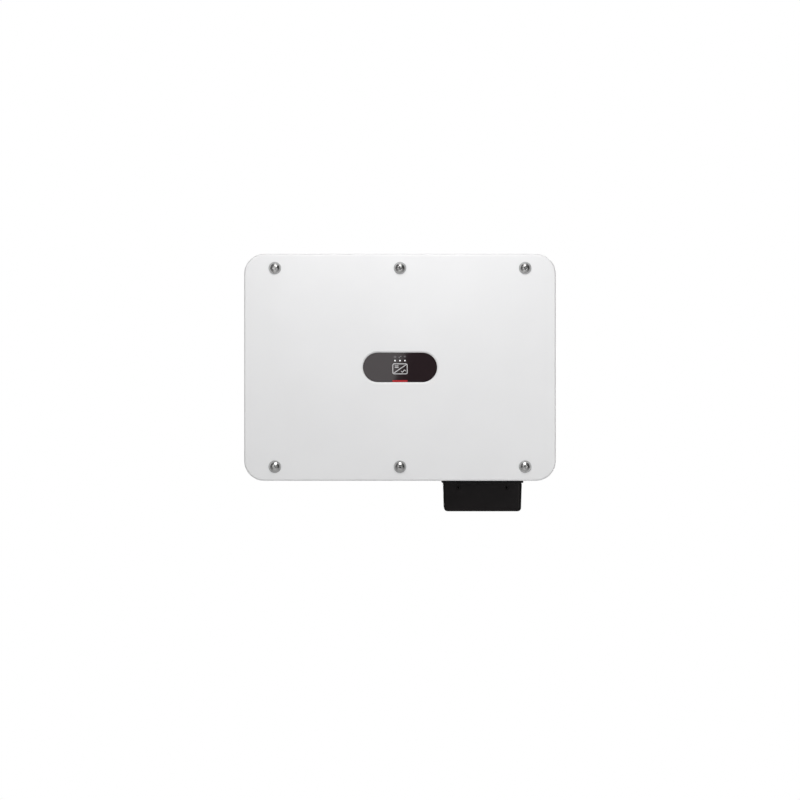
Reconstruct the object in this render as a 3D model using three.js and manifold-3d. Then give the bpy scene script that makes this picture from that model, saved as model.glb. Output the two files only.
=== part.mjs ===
// A wall-mounted string inverter. A die-cast housing carries a finned heat sink on its back and a
// flat front cover held by six captive screws. The connectors, the rotary isolator and the mains
// wiring box hang under the housing, behind the cover's lower edge. It hangs on a steel bracket.
//
// Millimetres. +X is to the right as seen from the front, +Y points into the wall and +Z is up.
// The origin is the centre of the wall bracket's rear face.
import * as THREE from "three";
import { ConvexGeometry } from "three/addons/geometries/ConvexGeometry.js";
import { mergeVertices } from "three/addons/utils/BufferGeometryUtils.js";
import Module from "manifold-3d";

// ---------------------------------------------------------------- driving dimensions

const GAP = 0.3; // clearance between pieces that rest on each other

// Front cover, seen from the front.
const COVER_WIDTH = 640;
const COVER_HEIGHT = 466;
const COVER_CORNER = 41;
const COVER_EDGE = 5; // radius between the cover's face and its sides
const COVER_WALL = 3.5;

// Places of the assembly against the bracket's centre.
const CENTRE_Z = -60; // centre of the cover
const COVER_BOTTOM_Z = CENTRE_Z - COVER_HEIGHT / 2;

// Stations along the depth, from the screw heads to the wall.
const DEPTH = 270;
const HEAD_HEIGHT = 6;
const FACE_Y = HEAD_HEIGHT - DEPTH; // the cover's face
const COVER_INSIDE_Y = FACE_Y + COVER_WALL;
const RIM_Y = FACE_Y + 9; // the housing's sealing rim
const SEAM_Y = FACE_Y + 24; // the cover's rear edge
const FLANGE_Y = SEAM_Y + 8; // rear of the housing's front flange
const BACK_Y = -118; // the housing's back
const FIN_TIP_Y = -26;

// Housing, from the cover's centre.
const BODY_WIDTH = 612;
const BODY_TOP = COVER_HEIGHT / 2 - 14;
const BODY_BOTTOM = 44 - COVER_HEIGHT / 2;
const BODY_CORNER = 27;
const BODY_WALL = 5;
const SCALLOP = 14; // radius of the notches around the upper cover screws
const UNDERSIDE_Z = CENTRE_Z + BODY_BOTTOM;

// Cover screws: three along the top and three along the bottom.
const SCREW_X = 257;
const SCREW_Z = 204;
const SCREW_HOLE = 3.3;
const BOSS_RADIUS = 9;

// Indicator window in the middle of the cover.
const WINDOW_WIDTH = 152;
const WINDOW_HEIGHT = 60.6;
const WINDOW_SINK = 2; // depth of the glass below the cover's face
const WINDOW_CHAMFER = 3.4;
const WINDOW_GLASS = 2;
const FRAME_Y = FACE_Y + 8; // rear of the thick frame round the window
const LAMP_PITCH = 10.2;
const LAMP_Z = 13.9;
const LAMP_RADIUS = 1.9;

// Heat sink.
const FIN_COUNT = 41;
const FIN_PITCH = 13.6;
const SINK_WIDTH = 556;
const SINK_BASE_Y = -108;
const ISLAND_WIDTH = 440;
const ISLAND_HEIGHT = 300;
const ISLAND_Y = -126;

// Wall bracket and hangers.
const BRACKET_WIDTH = 550;
const BRACKET_HEIGHT = 150;
const SHEET = 3;
const BRACKET_DEPTH = 24;
const BOLT_RADIUS = 6.5;
const BOLT_X = 180;
const BOLT_Z = 48;
const HOOK_Z = 42;
const LOCK_Z = -35;
const LOCK_Y = -14;

// Isolator, connectors and ports under the housing.
const SWITCH_AT = [-256, -178];
const PLUG_COUNT = 8;
const PLUG_PITCH = 27;
const PLUG_FIRST_X = -205;
const PLUG_ROWS = { plus: -205, minus: -166 };
const PLUG_THREAD = 6.5;
const COM_AT = [18, -196];
const DONGLE_AT = [58, -196];
const VALVE_AT = [38, -150];
const PORT_THREAD = 9;
const VALVE_THREAD = 5;

// Mains wiring box: it hangs below the cover's lower edge.
const BOX_AT = [170.5, -176];
const BOX_DROP = 64;
const BOX_WIDTH = 162.4;
const BOX_DEPTH = 100;
const BOX_TAPER = 1.8; // the lid's draft on each side
const BOX_WALL = 3.5;
const BOX_CORNER = 8;
const FLANGE_LIP = [6, 4]; // how much wider and deeper than the box its top flange is
const LID_TOP = -6.7;
const LID_EDGE = 7.5;
const SKIRT_WIDTH = 154.2;
const SKIRT_DEPTH = 91.8;
const SKIRT_WALL = 3;
const SKIRT_BOTTOM = -20;
const LID_SCREW_X = 50;
const LID_SCREW_Z = -15;
const CABLE_RADIUS = 15;

// Earthing bolt on the right side of the housing.
const EARTH_AT = [-150, -160]; // Y, and Z from the cover's centre

// ---------------------------------------------------------------- materials

function finish(colour, roughness, metalness = 0) {
  return new THREE.MeshStandardMaterial({ color: colour, roughness, metalness });
}

const finishes = {
  whitePaint: () => finish(0xe6e5e5, 0.45),
  greyPaint: () => finish(0xb9bbbd, 0.5),
  castAluminium: () => finish(0x8d9093, 0.5, 0.8),
  steel: () => finish(0xa8a8a8, 0.3, 1),
  blackGlass: () => finish(0x1b181a, 0.08),
  blackPlastic: () => finish(0x1f1d1e, 0.5),
  greyPlastic: () => finish(0x55585b, 0.5),
  clearPlastic: () => finish(0xf0f4f6, 0.2),
  rubber: () => finish(0x161616, 0.9),
  circuitBoard: () => finish(0x1f5b3c, 0.5),
};

// ---------------------------------------------------------------- solids

const wasm = await Module();
wasm.setup();

const WELD = 1e-4; // vertices closer than this are one vertex

// A closed geometry as a manifold-3d solid with its faces pointing out.
function solid(geometry) {
  const loose = geometry.index ? geometry.toNonIndexed() : geometry;
  const bare = new THREE.BufferGeometry();
  bare.setAttribute("position", loose.getAttribute("position"));
  const welded = mergeVertices(bare, WELD);
  const triangles = [];
  for (let i = 0; i < welded.index.count; i += 3) {
    const [a, b, c] = welded.index.array.slice(i, i + 3);
    if (a !== b && b !== c && c !== a) triangles.push([a, b, c]);
  }
  const vertProperties = welded.attributes.position.array;
  const build = (faces) =>
    new wasm.Manifold(
      new wasm.Mesh({ numProp: 3, vertProperties, triVerts: new Uint32Array(faces.flat()) }),
    );
  const made = build(triangles);
  return made.volume() > 0 ? made : build(triangles.map(([a, b, c]) => [a, c, b]));
}

function geometryOf(body) {
  const mesh = body.getMesh();
  const geometry = new THREE.BufferGeometry();
  geometry.setAttribute("position", new THREE.BufferAttribute(mesh.vertProperties, 3));
  geometry.setIndex(new THREE.BufferAttribute(mesh.triVerts, 1));
  const faceted = geometry.toNonIndexed();
  faceted.computeVertexNormals();
  return faceted;
}

const join = (...bodies) => bodies.reduce((all, body) => all.add(body));
const cut = (body, ...tools) => tools.reduce((left, tool) => left.subtract(tool), body);

// Where a drawing's own x, y and extrusion directions point in the frame.
const X = new THREE.Vector3(1, 0, 0);
const Y = new THREE.Vector3(0, 1, 0);
const Z = new THREE.Vector3(0, 0, 1);
const planes = {
  plan: { basis: [X, Y, Z], start: (from, to) => [0, 0, Math.min(from, to)] },
  front: { basis: [X, Z, Y.clone().negate()], start: (from, to) => [0, Math.max(from, to), 0] },
  side: { basis: [Y, Z, X], start: (from, to) => [Math.min(from, to), 0, 0] },
};

// A shape drawn in a plane and extruded between two stations on the axis across it.
function prism(shape, plane, from, to, arcs = 3, edge = 0) {
  const bevel = {
    bevelEnabled: edge > 0,
    bevelThickness: edge,
    bevelSize: edge,
    bevelOffset: -edge,
    bevelSegments: 3,
  };
  const depth = Math.abs(to - from) - 2 * edge;
  const geometry = new THREE.ExtrudeGeometry(shape, { depth, curveSegments: arcs, ...bevel });
  geometry.translate(0, 0, edge);
  geometry.applyMatrix4(new THREE.Matrix4().makeBasis(...planes[plane].basis));
  geometry.translate(...planes[plane].start(from, to));
  return solid(geometry);
}

function block(x0, x1, y0, y1, z0, z1) {
  const geometry = new THREE.BoxGeometry(x1 - x0, y1 - y0, z1 - z0);
  geometry.translate((x0 + x1) / 2, (y0 + y1) / 2, (z0 + z1) / 2);
  return solid(geometry);
}

// Turns geometry made around the Y axis so that its axis lies along the one named.
const turns = {
  x: (geometry) => geometry.rotateZ(-Math.PI / 2),
  y: (geometry) => geometry,
  z: (geometry) => geometry.rotateX(Math.PI / 2),
};

// A profile of [radius, height] points, turned about an axis through the local origin.
function turned(profile, axis, segments = 12) {
  const points = profile.map(([radius, height]) => new THREE.Vector2(radius, height));
  return solid(turns[axis](new THREE.LatheGeometry(points, segments)));
}

// A cylinder along an axis, between two stations, at the given place.
function rod(radius, axis, from, to, at = [0, 0, 0], segments = 12) {
  const geometry = new THREE.CylinderGeometry(radius, radius, Math.abs(to - from), segments);
  geometry.translate(0, (from + to) / 2, 0);
  turns[axis](geometry);
  geometry.translate(...at);
  return solid(geometry);
}

// A cutting cylinder whose flats, not its corners, lie at the radius.
function drill(radius, axis, from, to, at = [0, 0, 0], segments = 8) {
  return rod(radius / Math.cos(Math.PI / segments), axis, from, to, at, segments);
}

function roundedRect(width, height, radius, x = 0, y = 0) {
  const right = width / 2 - radius;
  const top = height / 2 - radius;
  const shape = new THREE.Shape();
  shape.absarc(x + right, y + top, radius, 0, Math.PI / 2);
  shape.absarc(x - right, y + top, radius, Math.PI / 2, Math.PI);
  shape.absarc(x - right, y - top, radius, Math.PI, 1.5 * Math.PI);
  shape.absarc(x + right, y - top, radius, 1.5 * Math.PI, 2 * Math.PI);
  return shape;
}

// A stadium: its ends are half circles.
function pill(width, height) {
  return roundedRect(width, height, height / 2 - 0.01);
}

// The hull of rounded rectangles stacked along Z: each ring is [width, depth, corner, z].
function stacked(rings, arcs = 3) {
  const points = rings.flatMap(([width, depth, corner, z]) =>
    roundedRect(width, depth, corner)
      .getPoints(arcs)
      .map((point) => new THREE.Vector3(point.x, point.y, z)),
  );
  return solid(new ConvexGeometry(points));
}

// ---------------------------------------------------------------- housing and cover

const coverOutline = () => roundedRect(COVER_WIDTH, COVER_HEIGHT, COVER_CORNER);
const screwPlaces = [SCREW_Z, -SCREW_Z].flatMap((z) => [-SCREW_X, 0, SCREW_X].map((x) => [x, z]));

// The housing's wall, inset from its outside, with a notch in its top for each upper cover screw.
function wallOutline(inset) {
  const right = BODY_WIDTH / 2 - inset;
  const top = BODY_TOP - inset;
  const bottom = BODY_BOTTOM + inset;
  const corner = BODY_CORNER - inset;
  const notch = SCALLOP + inset;
  const shape = new THREE.Shape();
  shape.absarc(right - corner, top - corner, corner, 0, Math.PI / 2);
  for (const x of [SCREW_X, 0, -SCREW_X]) {
    shape.lineTo(x + notch, top);
    shape.absarc(x, SCREW_Z, notch, 0, Math.PI, true);
    shape.lineTo(x - notch, top);
  }
  shape.absarc(corner - right, top - corner, corner, Math.PI / 2, Math.PI);
  shape.absarc(corner - right, bottom + corner, corner, Math.PI, 1.5 * Math.PI);
  shape.absarc(right - corner, bottom + corner, corner, 1.5 * Math.PI, 2 * Math.PI);
  return shape;
}

// Every hole in the housing's underside: [radius, x, y].
function undersideHoles() {
  const holes = [
    [6, ...SWITCH_AT],
    [PORT_THREAD + GAP, ...COM_AT],
    [PORT_THREAD + GAP, ...DONGLE_AT],
    [VALVE_THREAD + GAP, ...VALVE_AT],
  ];
  for (const y of Object.values(PLUG_ROWS)) {
    for (let i = 0; i < PLUG_COUNT; i++) {
      holes.push([PLUG_THREAD + GAP, PLUG_FIRST_X + i * PLUG_PITCH, y]);
    }
  }
  return holes;
}

function housing() {
  const bosses = screwPlaces.map(([x, z]) =>
    rod(BOSS_RADIUS, "y", FLANGE_Y - 4, COVER_INSIDE_Y + GAP, [x, 0, z]),
  );
  const outside = join(
    prism(wallOutline(0), "front", BACK_Y, RIM_Y),
    prism(coverOutline(), "front", FLANGE_Y, SEAM_Y + GAP),
    ...bosses,
  );
  const screwHoles = screwPlaces.map(([x, z]) =>
    drill(SCREW_HOLE, "y", SEAM_Y - 1, COVER_INSIDE_Y - 1, [x, 0, z]),
  );
  const threads = undersideHoles().map(([radius, x, y]) =>
    drill(radius, "z", BODY_BOTTOM - 1, BODY_BOTTOM + BODY_WALL + 1, [x, y, 0]),
  );
  const [boxX, boxY] = BOX_AT;
  const wireWay = roundedRect(120, 50, 6, boxX, boxY);
  const [earthY, earthZ] = EARTH_AT;
  return cut(
    outside,
    prism(wallOutline(BODY_WALL), "front", BACK_Y - BODY_WALL, RIM_Y - 1),
    prism(roundedRect(ISLAND_WIDTH + 1, ISLAND_HEIGHT + 1, 8), "front", BACK_Y + 1, ISLAND_Y - 1),
    prism(wireWay, "plan", BODY_BOTTOM - 1, BODY_BOTTOM + BODY_WALL + 1),
    drill(SCREW_HOLE, "x", BODY_WIDTH / 2 - 8, BODY_WIDTH / 2 + 1, [0, earthY, earthZ]),
    ...screwHoles,
    ...threads,
  );
}

function coverGasket() {
  const inset = 0.6;
  const width = 3.6;
  return cut(
    prism(wallOutline(inset), "front", RIM_Y - GAP, COVER_INSIDE_Y + GAP),
    prism(wallOutline(inset + width), "front", RIM_Y + 1, COVER_INSIDE_Y - 1),
  );
}

function frontCover() {
  const inside = roundedRect(
    COVER_WIDTH - 2 * COVER_WALL,
    COVER_HEIGHT - 2 * COVER_WALL,
    COVER_CORNER - COVER_WALL,
  );
  const shell = cut(
    prism(coverOutline(), "front", SEAM_Y + 3 * COVER_EDGE, FACE_Y, 4, COVER_EDGE),
    block(-COVER_WIDTH, COVER_WIDTH, SEAM_Y, SEAM_Y + 4 * COVER_EDGE, -COVER_HEIGHT, COVER_HEIGHT),
    prism(inside, "front", SEAM_Y + 1, COVER_INSIDE_Y),
  );
  const frame = prism(pill(WINDOW_WIDTH + 20, WINDOW_HEIGHT + 20), "front", FRAME_Y, FACE_Y + 1, 6);
  const glassPocket = pill(WINDOW_WIDTH + 2 * GAP, WINDOW_HEIGHT + 2 * GAP);
  const pocketDepth = WINDOW_SINK + WINDOW_GLASS + GAP;
  return cut(
    join(shell, frame),
    windowBevel(),
    prism(glassPocket, "front", FACE_Y + pocketDepth, FACE_Y - 1, 6),
    prism(pill(WINDOW_WIDTH - 12, WINDOW_HEIGHT - 12), "front", FRAME_Y + 1, FACE_Y, 6),
    ...screwPlaces.map(([x, z]) => drill(3.6, "y", FACE_Y - 1, COVER_INSIDE_Y + 1, [x, 0, z])),
  );
}

// The chamfer round the window, as the hull of two pills.
function windowBevel() {
  const arcs = 6;
  const ring = (grow, y) =>
    pill(WINDOW_WIDTH + 2 * grow, WINDOW_HEIGHT + 2 * grow)
      .getPoints(arcs)
      .map((point) => new THREE.Vector3(point.x, y, point.y));
  const points = [
    ...ring(GAP, FACE_Y + WINDOW_SINK),
    ...ring(WINDOW_CHAMFER, FACE_Y),
    ...ring(WINDOW_CHAMFER, FACE_Y - 1),
  ];
  return solid(new ConvexGeometry(points));
}

// A captive screw with a broad sealing washer and a coned head with a hexagon socket.
function coverScrew() {
  const washerTop = -1.6;
  const head = turned(
    [
      [0, SEAM_Y - FACE_Y - 2],
      [1.8, SEAM_Y - FACE_Y - 2],
      [3, SEAM_Y - FACE_Y - 4],
      [3, -GAP],
      [12.7, -GAP],
      [12.7, washerTop + 0.4],
      [12.2, washerTop],
      [9.6, washerTop],
      [9.2, washerTop - 0.6],
      [4.6, -HEAD_HEIGHT],
      [0, -HEAD_HEIGHT],
    ],
    "y",
    14,
  );
  return cut(head, rod(3.1, "y", -HEAD_HEIGHT - 1, -HEAD_HEIGHT + 2.4, [0, 0, 0], 6));
}

function indicatorWindow() {
  const front = FACE_Y + WINDOW_SINK;
  return prism(pill(WINDOW_WIDTH, WINDOW_HEIGHT), "front", front + WINDOW_GLASS, front, 6);
}

function indicatorBoard() {
  const board = prism(pill(150, 58), "front", FRAME_Y + GAP + 1.6, FRAME_Y + GAP, 4);
  const plug = block(-12, 12, FRAME_Y + 1, FRAME_Y + 8, -20, -12);
  return join(board, plug);
}

function lightPipe() {
  const glassBack = FACE_Y + WINDOW_SINK + WINDOW_GLASS;
  return rod(LAMP_RADIUS, "y", glassBack + GAP, FRAME_Y, [0, 0, 0], 12);
}

// ---------------------------------------------------------------- heat sink and wall bracket

function finOutline() {
  const half = SINK_WIDTH / 2;
  const root = 1.6;
  const tip = 1;
  const shape = new THREE.Shape();
  shape.moveTo(-half, BACK_Y + GAP);
  shape.lineTo(half, BACK_Y + GAP);
  shape.lineTo(half, SINK_BASE_Y);
  for (let i = FIN_COUNT - 1; i >= 0; i--) {
    const x = (i - (FIN_COUNT - 1) / 2) * FIN_PITCH;
    shape.lineTo(x + root, SINK_BASE_Y);
    shape.lineTo(x + tip, FIN_TIP_Y);
    shape.lineTo(x - tip, FIN_TIP_Y);
    shape.lineTo(x - root, SINK_BASE_Y);
  }
  shape.lineTo(-half, SINK_BASE_Y);
  return shape;
}

function heatSink() {
  const chamfer = 34; // diagonal side of the corners cut off the fins
  const corners = [BODY_TOP, BODY_BOTTOM].map((z) => {
    const tool = new THREE.BoxGeometry(SINK_WIDTH + 10, chamfer, chamfer);
    return solid(tool.rotateX(Math.PI / 4).translate(0, FIN_TIP_Y, z));
  });
  const island = roundedRect(ISLAND_WIDTH, ISLAND_HEIGHT, 8);
  return join(
    cut(prism(finOutline(), "plan", BODY_BOTTOM, BODY_TOP), ...corners),
    prism(island, "front", BACK_Y + 2, ISLAND_Y),
  );
}

const boltPlaces = [BOLT_Z, -BOLT_Z].flatMap((z) => [-BOLT_X, BOLT_X].map((x) => [x, z]));

function wallBracket() {
  const half = BRACKET_WIDTH / 2;
  const low = -BRACKET_HEIGHT / 2;
  const high = BRACKET_HEIGHT / 2;
  const cheek = (side) => {
    const [x0, x1] = side > 0 ? [half - SHEET, half] : [-half, SHEET - half];
    return block(x0, x1, -BRACKET_DEPTH, -1, low, high);
  };
  const notch = block(-half - 1, half + 1, -BRACKET_DEPTH + 1.5, -7.5, HOOK_Z - 0.5, high + 1);
  const slot = roundedRect(34, 2 * BOLT_RADIUS, BOLT_RADIUS - 0.01, 0, BOLT_Z);
  return cut(
    join(block(-half, half, -SHEET, 0, low, high), cheek(1), cheek(-1)),
    notch,
    drill(SCREW_HOLE, "x", -half - 1, half + 1, [0, LOCK_Y, LOCK_Z]),
    prism(slot, "front", 1, -SHEET - 1),
    ...boltPlaces.map(([x, z]) => drill(BOLT_RADIUS, "y", -SHEET - 1, 1, [x, 0, z])),
  );
}

// The right-hand hanger: a foot on the housing's back and a web that ends in a hook. side is 1 or -1.
function hanger(side) {
  const inner = BRACKET_WIDTH / 2 + 6;
  const low = -62;
  const high = 76;
  const profile = new THREE.Shape();
  profile.moveTo(BACK_Y + GAP, low - 30);
  profile.lineTo(BACK_Y + 40, low - 30);
  profile.lineTo(-4, low + 10);
  profile.lineTo(-4, high - 14);
  profile.lineTo(-30, high);
  profile.lineTo(BACK_Y + GAP, high);
  const spans = (x0, x1) => (side > 0 ? [x0, x1] : [-x1, -x0]);
  const [web0, web1] = spans(inner, inner + SHEET);
  const [foot0, foot1] = spans(inner, inner + 23);
  const [hook0, hook1] = spans(inner - 12, inner + 1);
  return cut(
    join(
      prism(profile, "side", web0, web1),
      block(foot0, foot1, BACK_Y + GAP, BACK_Y + GAP + SHEET, low - 30, high),
      block(hook0, hook1, -21.5, -9, HOOK_Z, HOOK_Z + 12),
    ),
    drill(SCREW_HOLE + 0.3, "x", web0 - 1, web1 + 1, [0, LOCK_Y, LOCK_Z]),
  );
}

// A hexagon-headed bolt with a washer, along +X from under its head.
function hexBolt(length) {
  const washer = 1.2;
  const head = rod(5, "x", washer, washer + 4, [0, 0, 0], 6);
  return join(rod(7, "x", 0, washer), head, rod(3, "x", -length, washer, [0, 0, 0], 12));
}

// ---------------------------------------------------------------- pieces under the housing
// Their local z = 0 is the outside of the housing's underside, and they hang below it.

function switchPlate() {
  return cut(prism(roundedRect(56, 56, 8), "plan", -GAP, -3.3), drill(6, "z", -5, 1));
}

const KNOB_TOP = -3.6;
const KNOB_BOTTOM = -39;
const KNOB_BORE = 4.3;

function switchKnob() {
  const grip = stacked([
    [42, 13, 6, KNOB_TOP - 7],
    [38, 10, 4.9, KNOB_BOTTOM + 2],
    [34, 8, 3.9, KNOB_BOTTOM],
  ]);
  const skirt = turned(
    [
      [0, KNOB_TOP],
      [23, KNOB_TOP],
      [23, KNOB_TOP - 6],
      [20, KNOB_TOP - 10],
      [0, KNOB_TOP - 10],
    ],
    "z",
    24,
  );
  return cut(join(skirt, grip), drill(KNOB_BORE, "z", KNOB_TOP - 17, KNOB_TOP + 1));
}

function switchShaft() {
  return rod(4, "z", KNOB_TOP - 16.5, 32, [0, 0, 0], 12);
}

// The isolator behind the wall, with a bore for the shaft.
function switchBody() {
  const bottom = BODY_WALL + GAP;
  const poles = [20, 38, 56].map((z) => block(-31, 31, -24, 24, z, z + 12));
  return cut(
    join(block(-23, 23, -27, 27, bottom, bottom + 70), ...poles),
    drill(4.6, "z", bottom - 1, 34),
  );
}

const THREAD_TOP = 15;
const PLUG_TIP = -34;

// A panel connector under its hexagon nut, closed by a blind plug of the given profile.
function panelConnector(plug) {
  const profile = [[0, THREAD_TOP], [PLUG_THREAD, THREAD_TOP], [PLUG_THREAD, -GAP], [9, -GAP], ...plug];
  return join(turned(profile, "z", 8), rod(12, "z", -5, -GAP, [0, 0, 0], 6));
}

// A wide barrel with the blind plug's head in its mouth.
const plusPlug = [
  [9, PLUG_TIP + 6],
  [7, PLUG_TIP + 5],
  [7, PLUG_TIP],
  [0, PLUG_TIP],
];

// A short barrel with a blind cap over its nose.
const minusPlug = [
  [9, -15],
  [7, -17],
  [8.4, PLUG_TIP + 12],
  [8.4, PLUG_TIP + 2],
  [6.5, PLUG_TIP],
  [0, PLUG_TIP],
];

// A threaded port with a flange, and a socket of the given radius in its end.
function port(radius, socket) {
  return turned(
    [
      [0, 12],
      [PORT_THREAD, 12],
      [PORT_THREAD, -GAP],
      [radius + 3, -GAP],
      [radius + 3, -4],
      [radius, -4],
      [radius, -19],
      [socket, -19],
      [socket, -6],
      [0, -6],
    ],
    "z",
    12,
  );
}

// The screw cap that covers a port, with grip ribs round it.
function portCap(radius) {
  const outer = radius + 3;
  const cup = turned(
    [
      [radius + GAP, -4.5],
      [outer - 0.6, -4.5],
      [outer, -5.5],
      [outer, -22],
      [outer - 1.5, -24],
      [0, -24],
      [0, -19.5],
      [radius + GAP, -19.5],
      [radius + GAP, -4.5],
    ],
    "z",
    16,
  );
  const ribs = [];
  for (let i = 0; i < 10; i++) {
    const angle = (i / 10) * 2 * Math.PI;
    const at = [outer * Math.cos(angle), outer * Math.sin(angle), 0];
    ribs.push(rod(1.2, "z", -21, -6, at, 6));
  }
  return join(cup, ...ribs);
}

function ventValve() {
  const cap = turned(
    [
      [0, 12],
      [VALVE_THREAD, 12],
      [VALVE_THREAD, -GAP],
      [10, -GAP],
      [10, -6],
      [8.5, -8],
      [0, -8],
    ],
    "z",
    16,
  );
  const slots = [0, 1, 2].map((i) => {
    const bar = new THREE.BoxGeometry(24, 1.6, 3).translate(0, 0, -8);
    return solid(bar.rotateZ((i * Math.PI) / 3));
  });
  return cut(cap, ...slots);
}

// ---------------------------------------------------------------- mains wiring box
// Its local z = 0 is the level of the cover's lower edge, and x = y = 0 is the box's middle.

const BOX_TOP = BODY_BOTTOM + COVER_HEIGHT / 2 - GAP;
const FLANGE_DEPTH = 5;

function boxBase() {
  const flange = roundedRect(BOX_WIDTH + FLANGE_LIP[0], BOX_DEPTH + FLANGE_LIP[1], BOX_CORNER + 2);
  const skirt = roundedRect(SKIRT_WIDTH, SKIRT_DEPTH, BOX_CORNER - 3.5);
  const bore = roundedRect(SKIRT_WIDTH - 2 * SKIRT_WALL, SKIRT_DEPTH - 2 * SKIRT_WALL, 3);
  const slots = [-LID_SCREW_X, LID_SCREW_X].map((x) =>
    block(x - 2.6, x + 2.6, -SKIRT_DEPTH / 2 - 1, 5 - SKIRT_DEPTH / 2, SKIRT_BOTTOM - 1, -12),
  );
  return cut(
    join(
      prism(roundedRect(BOX_WIDTH, BOX_DEPTH, BOX_CORNER), "plan", -FLANGE_DEPTH, BOX_TOP),
      prism(flange, "plan", -FLANGE_DEPTH, 0),
      prism(skirt, "plan", SKIRT_BOTTOM, -FLANGE_DEPTH),
    ),
    prism(bore, "plan", SKIRT_BOTTOM - 1, BOX_TOP - 4),
    prism(roundedRect(120, 50, 6), "plan", BOX_TOP - 5, BOX_TOP + 1),
    ...slots,
  );
}

function boxSeal() {
  const inner = roundedRect(SKIRT_WIDTH + 2 * GAP, SKIRT_DEPTH + 2 * GAP, BOX_CORNER - 3.2);
  return cut(
    prism(roundedRect(BOX_WIDTH - 1.6, BOX_DEPTH - 1.6, BOX_CORNER - 0.8), "plan", LID_TOP + GAP, -5.3),
    prism(inner, "plan", LID_TOP - 1, -5),
  );
}

function boxLid() {
  const low = LID_EDGE - BOX_DROP; // where the lower edge's rounding starts
  const width = BOX_WIDTH - 2 * BOX_TAPER;
  const depth = BOX_DEPTH - 2 * BOX_TAPER;
  const rounding = [0, 1, 2, 3].map((step) => {
    const angle = (step / 3) * (Math.PI / 2);
    const inset = 2 * LID_EDGE * (1 - Math.cos(angle));
    const z = low - LID_EDGE * Math.sin(angle);
    return [width - inset, depth - inset, Math.max(BOX_CORNER - inset / 2, 2), z];
  });
  const wall = 2 * BOX_WALL;
  const cavity = stacked([
    [BOX_WIDTH - wall, BOX_DEPTH - wall, BOX_CORNER - BOX_WALL, LID_TOP + 1],
    [width - wall, depth - wall, BOX_CORNER - BOX_WALL, 4 - BOX_DROP],
  ]);
  const screwHoles = [-LID_SCREW_X, LID_SCREW_X].flatMap((x) => [
    drill(2.3, "y", -BOX_DEPTH / 2 - 1, 8 - BOX_DEPTH / 2, [x, 0, LID_SCREW_Z]),
    drill(4.4, "y", -BOX_DEPTH / 2 - 1, 2.3 - BOX_DEPTH / 2, [x, 0, LID_SCREW_Z]),
  ]);
  return cut(
    stacked([[BOX_WIDTH, BOX_DEPTH, BOX_CORNER, LID_TOP], ...rounding]),
    cavity,
    drill(CABLE_RADIUS + 15, "z", -BOX_DROP - 1, 2 - BOX_DROP, [0, 0, 0], 16),
    drill(CABLE_RADIUS + 10, "z", -BOX_DROP - 1, 5 - BOX_DROP, [0, 0, 0], 16),
    ...screwHoles,
  );
}

function lidScrew() {
  const head = rod(4, "y", 2.7 - 3.9, 0.6, [0, 0, 0]);
  const drive = [0, 1].map((i) => {
    const bar = new THREE.BoxGeometry(4.6, 1.6, 1).translate(0, -1.2, 0);
    return solid(bar.rotateY((i * Math.PI) / 2));
  });
  return cut(join(head, rod(2, "y", 0, 11, [0, 0, 0], 12)), ...drive);
}

// A rubber sleeve seated in the lid's floor, with a lip on each side of it.
function cableGrommet() {
  const floor = -BOX_DROP;
  return turned(
    [
      [CABLE_RADIUS, floor + 0.4],
      [CABLE_RADIUS + 14.5, floor + 0.4],
      [CABLE_RADIUS + 14.5, floor + 1.7],
      [CABLE_RADIUS + 9.6, floor + 1.7],
      [CABLE_RADIUS + 9.6, floor + 4.3],
      [CABLE_RADIUS + 13, floor + 4.3],
      [CABLE_RADIUS + 11, floor + 7],
      [CABLE_RADIUS + 4, floor + 12],
      [CABLE_RADIUS, floor + 12],
      [CABLE_RADIUS, floor + 0.4],
    ],
    "z",
    16,
  );
}

// Five poles for the mains, the neutral and the earth, parted by barriers.
function terminalBlock() {
  const poles = 5;
  const pitch = 25;
  const top = BOX_TOP - 4 - GAP;
  const half = (poles * pitch) / 2 + 1.2;
  const parts = [block(-half, half, -20, 20, 17, top)];
  for (let i = 0; i <= poles; i++) {
    const x = (i - poles / 2) * pitch;
    parts.push(block(x - 1.2, x + 1.2, -20, 20, -6, 18));
  }
  for (let i = 0; i < poles; i++) {
    const x = (i - (poles - 1) / 2) * pitch;
    parts.push(rod(3, "z", 0, 18, [x, 0, 0], 8));
    parts.push(rod(6.5, "z", 8, 13, [x, 0, 0], 6));
    parts.push(block(x - 8.5, x + 8.5, -14, 14, 14, 18));
  }
  return join(...parts);
}

// ---------------------------------------------------------------- inside the housing
// Local z = 0 is the cover's centre. The power electronics sit against the heat sink's island.

const SEAT_Y = ISLAND_Y - GAP;
const POWER_BOARD_Y = SEAT_Y - 13;

function powerModule() {
  const legs = [];
  for (let i = 0; i < 3; i++) {
    const x = (i - 1) * 110;
    legs.push(block(x - 42, x + 42, SEAT_Y - 12, SEAT_Y - 6, -24, 24));
  }
  return join(block(-160, 160, SEAT_Y - 7, SEAT_Y, -28, 28), ...legs);
}

function powerBoard() {
  const front = POWER_BOARD_Y - 1.6;
  const board = block(-225, 285, front, POWER_BOARD_Y, -120, 70);
  const parts = [board];
  for (let i = 0; i < 4; i++) {
    const x = -205 + i * 28; // film capacitors of the boost stage
    parts.push(block(x - 13, x + 13, front - 30, front + 0.5, 8, 60));
  }
  for (let i = 0; i < 6; i++) {
    const x = 155 + (i % 3) * 40; // output relays in two rows
    const z = i < 3 ? 20 : -40;
    parts.push(block(x - 14, x + 14, front - 22, front + 0.5, z, z + 36));
  }
  for (const z of [-70, -84, -98]) {
    parts.push(block(-210, 120, front - 8, front + 0.5, z, z + 5)); // bus bars
  }
  return join(...parts);
}

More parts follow.
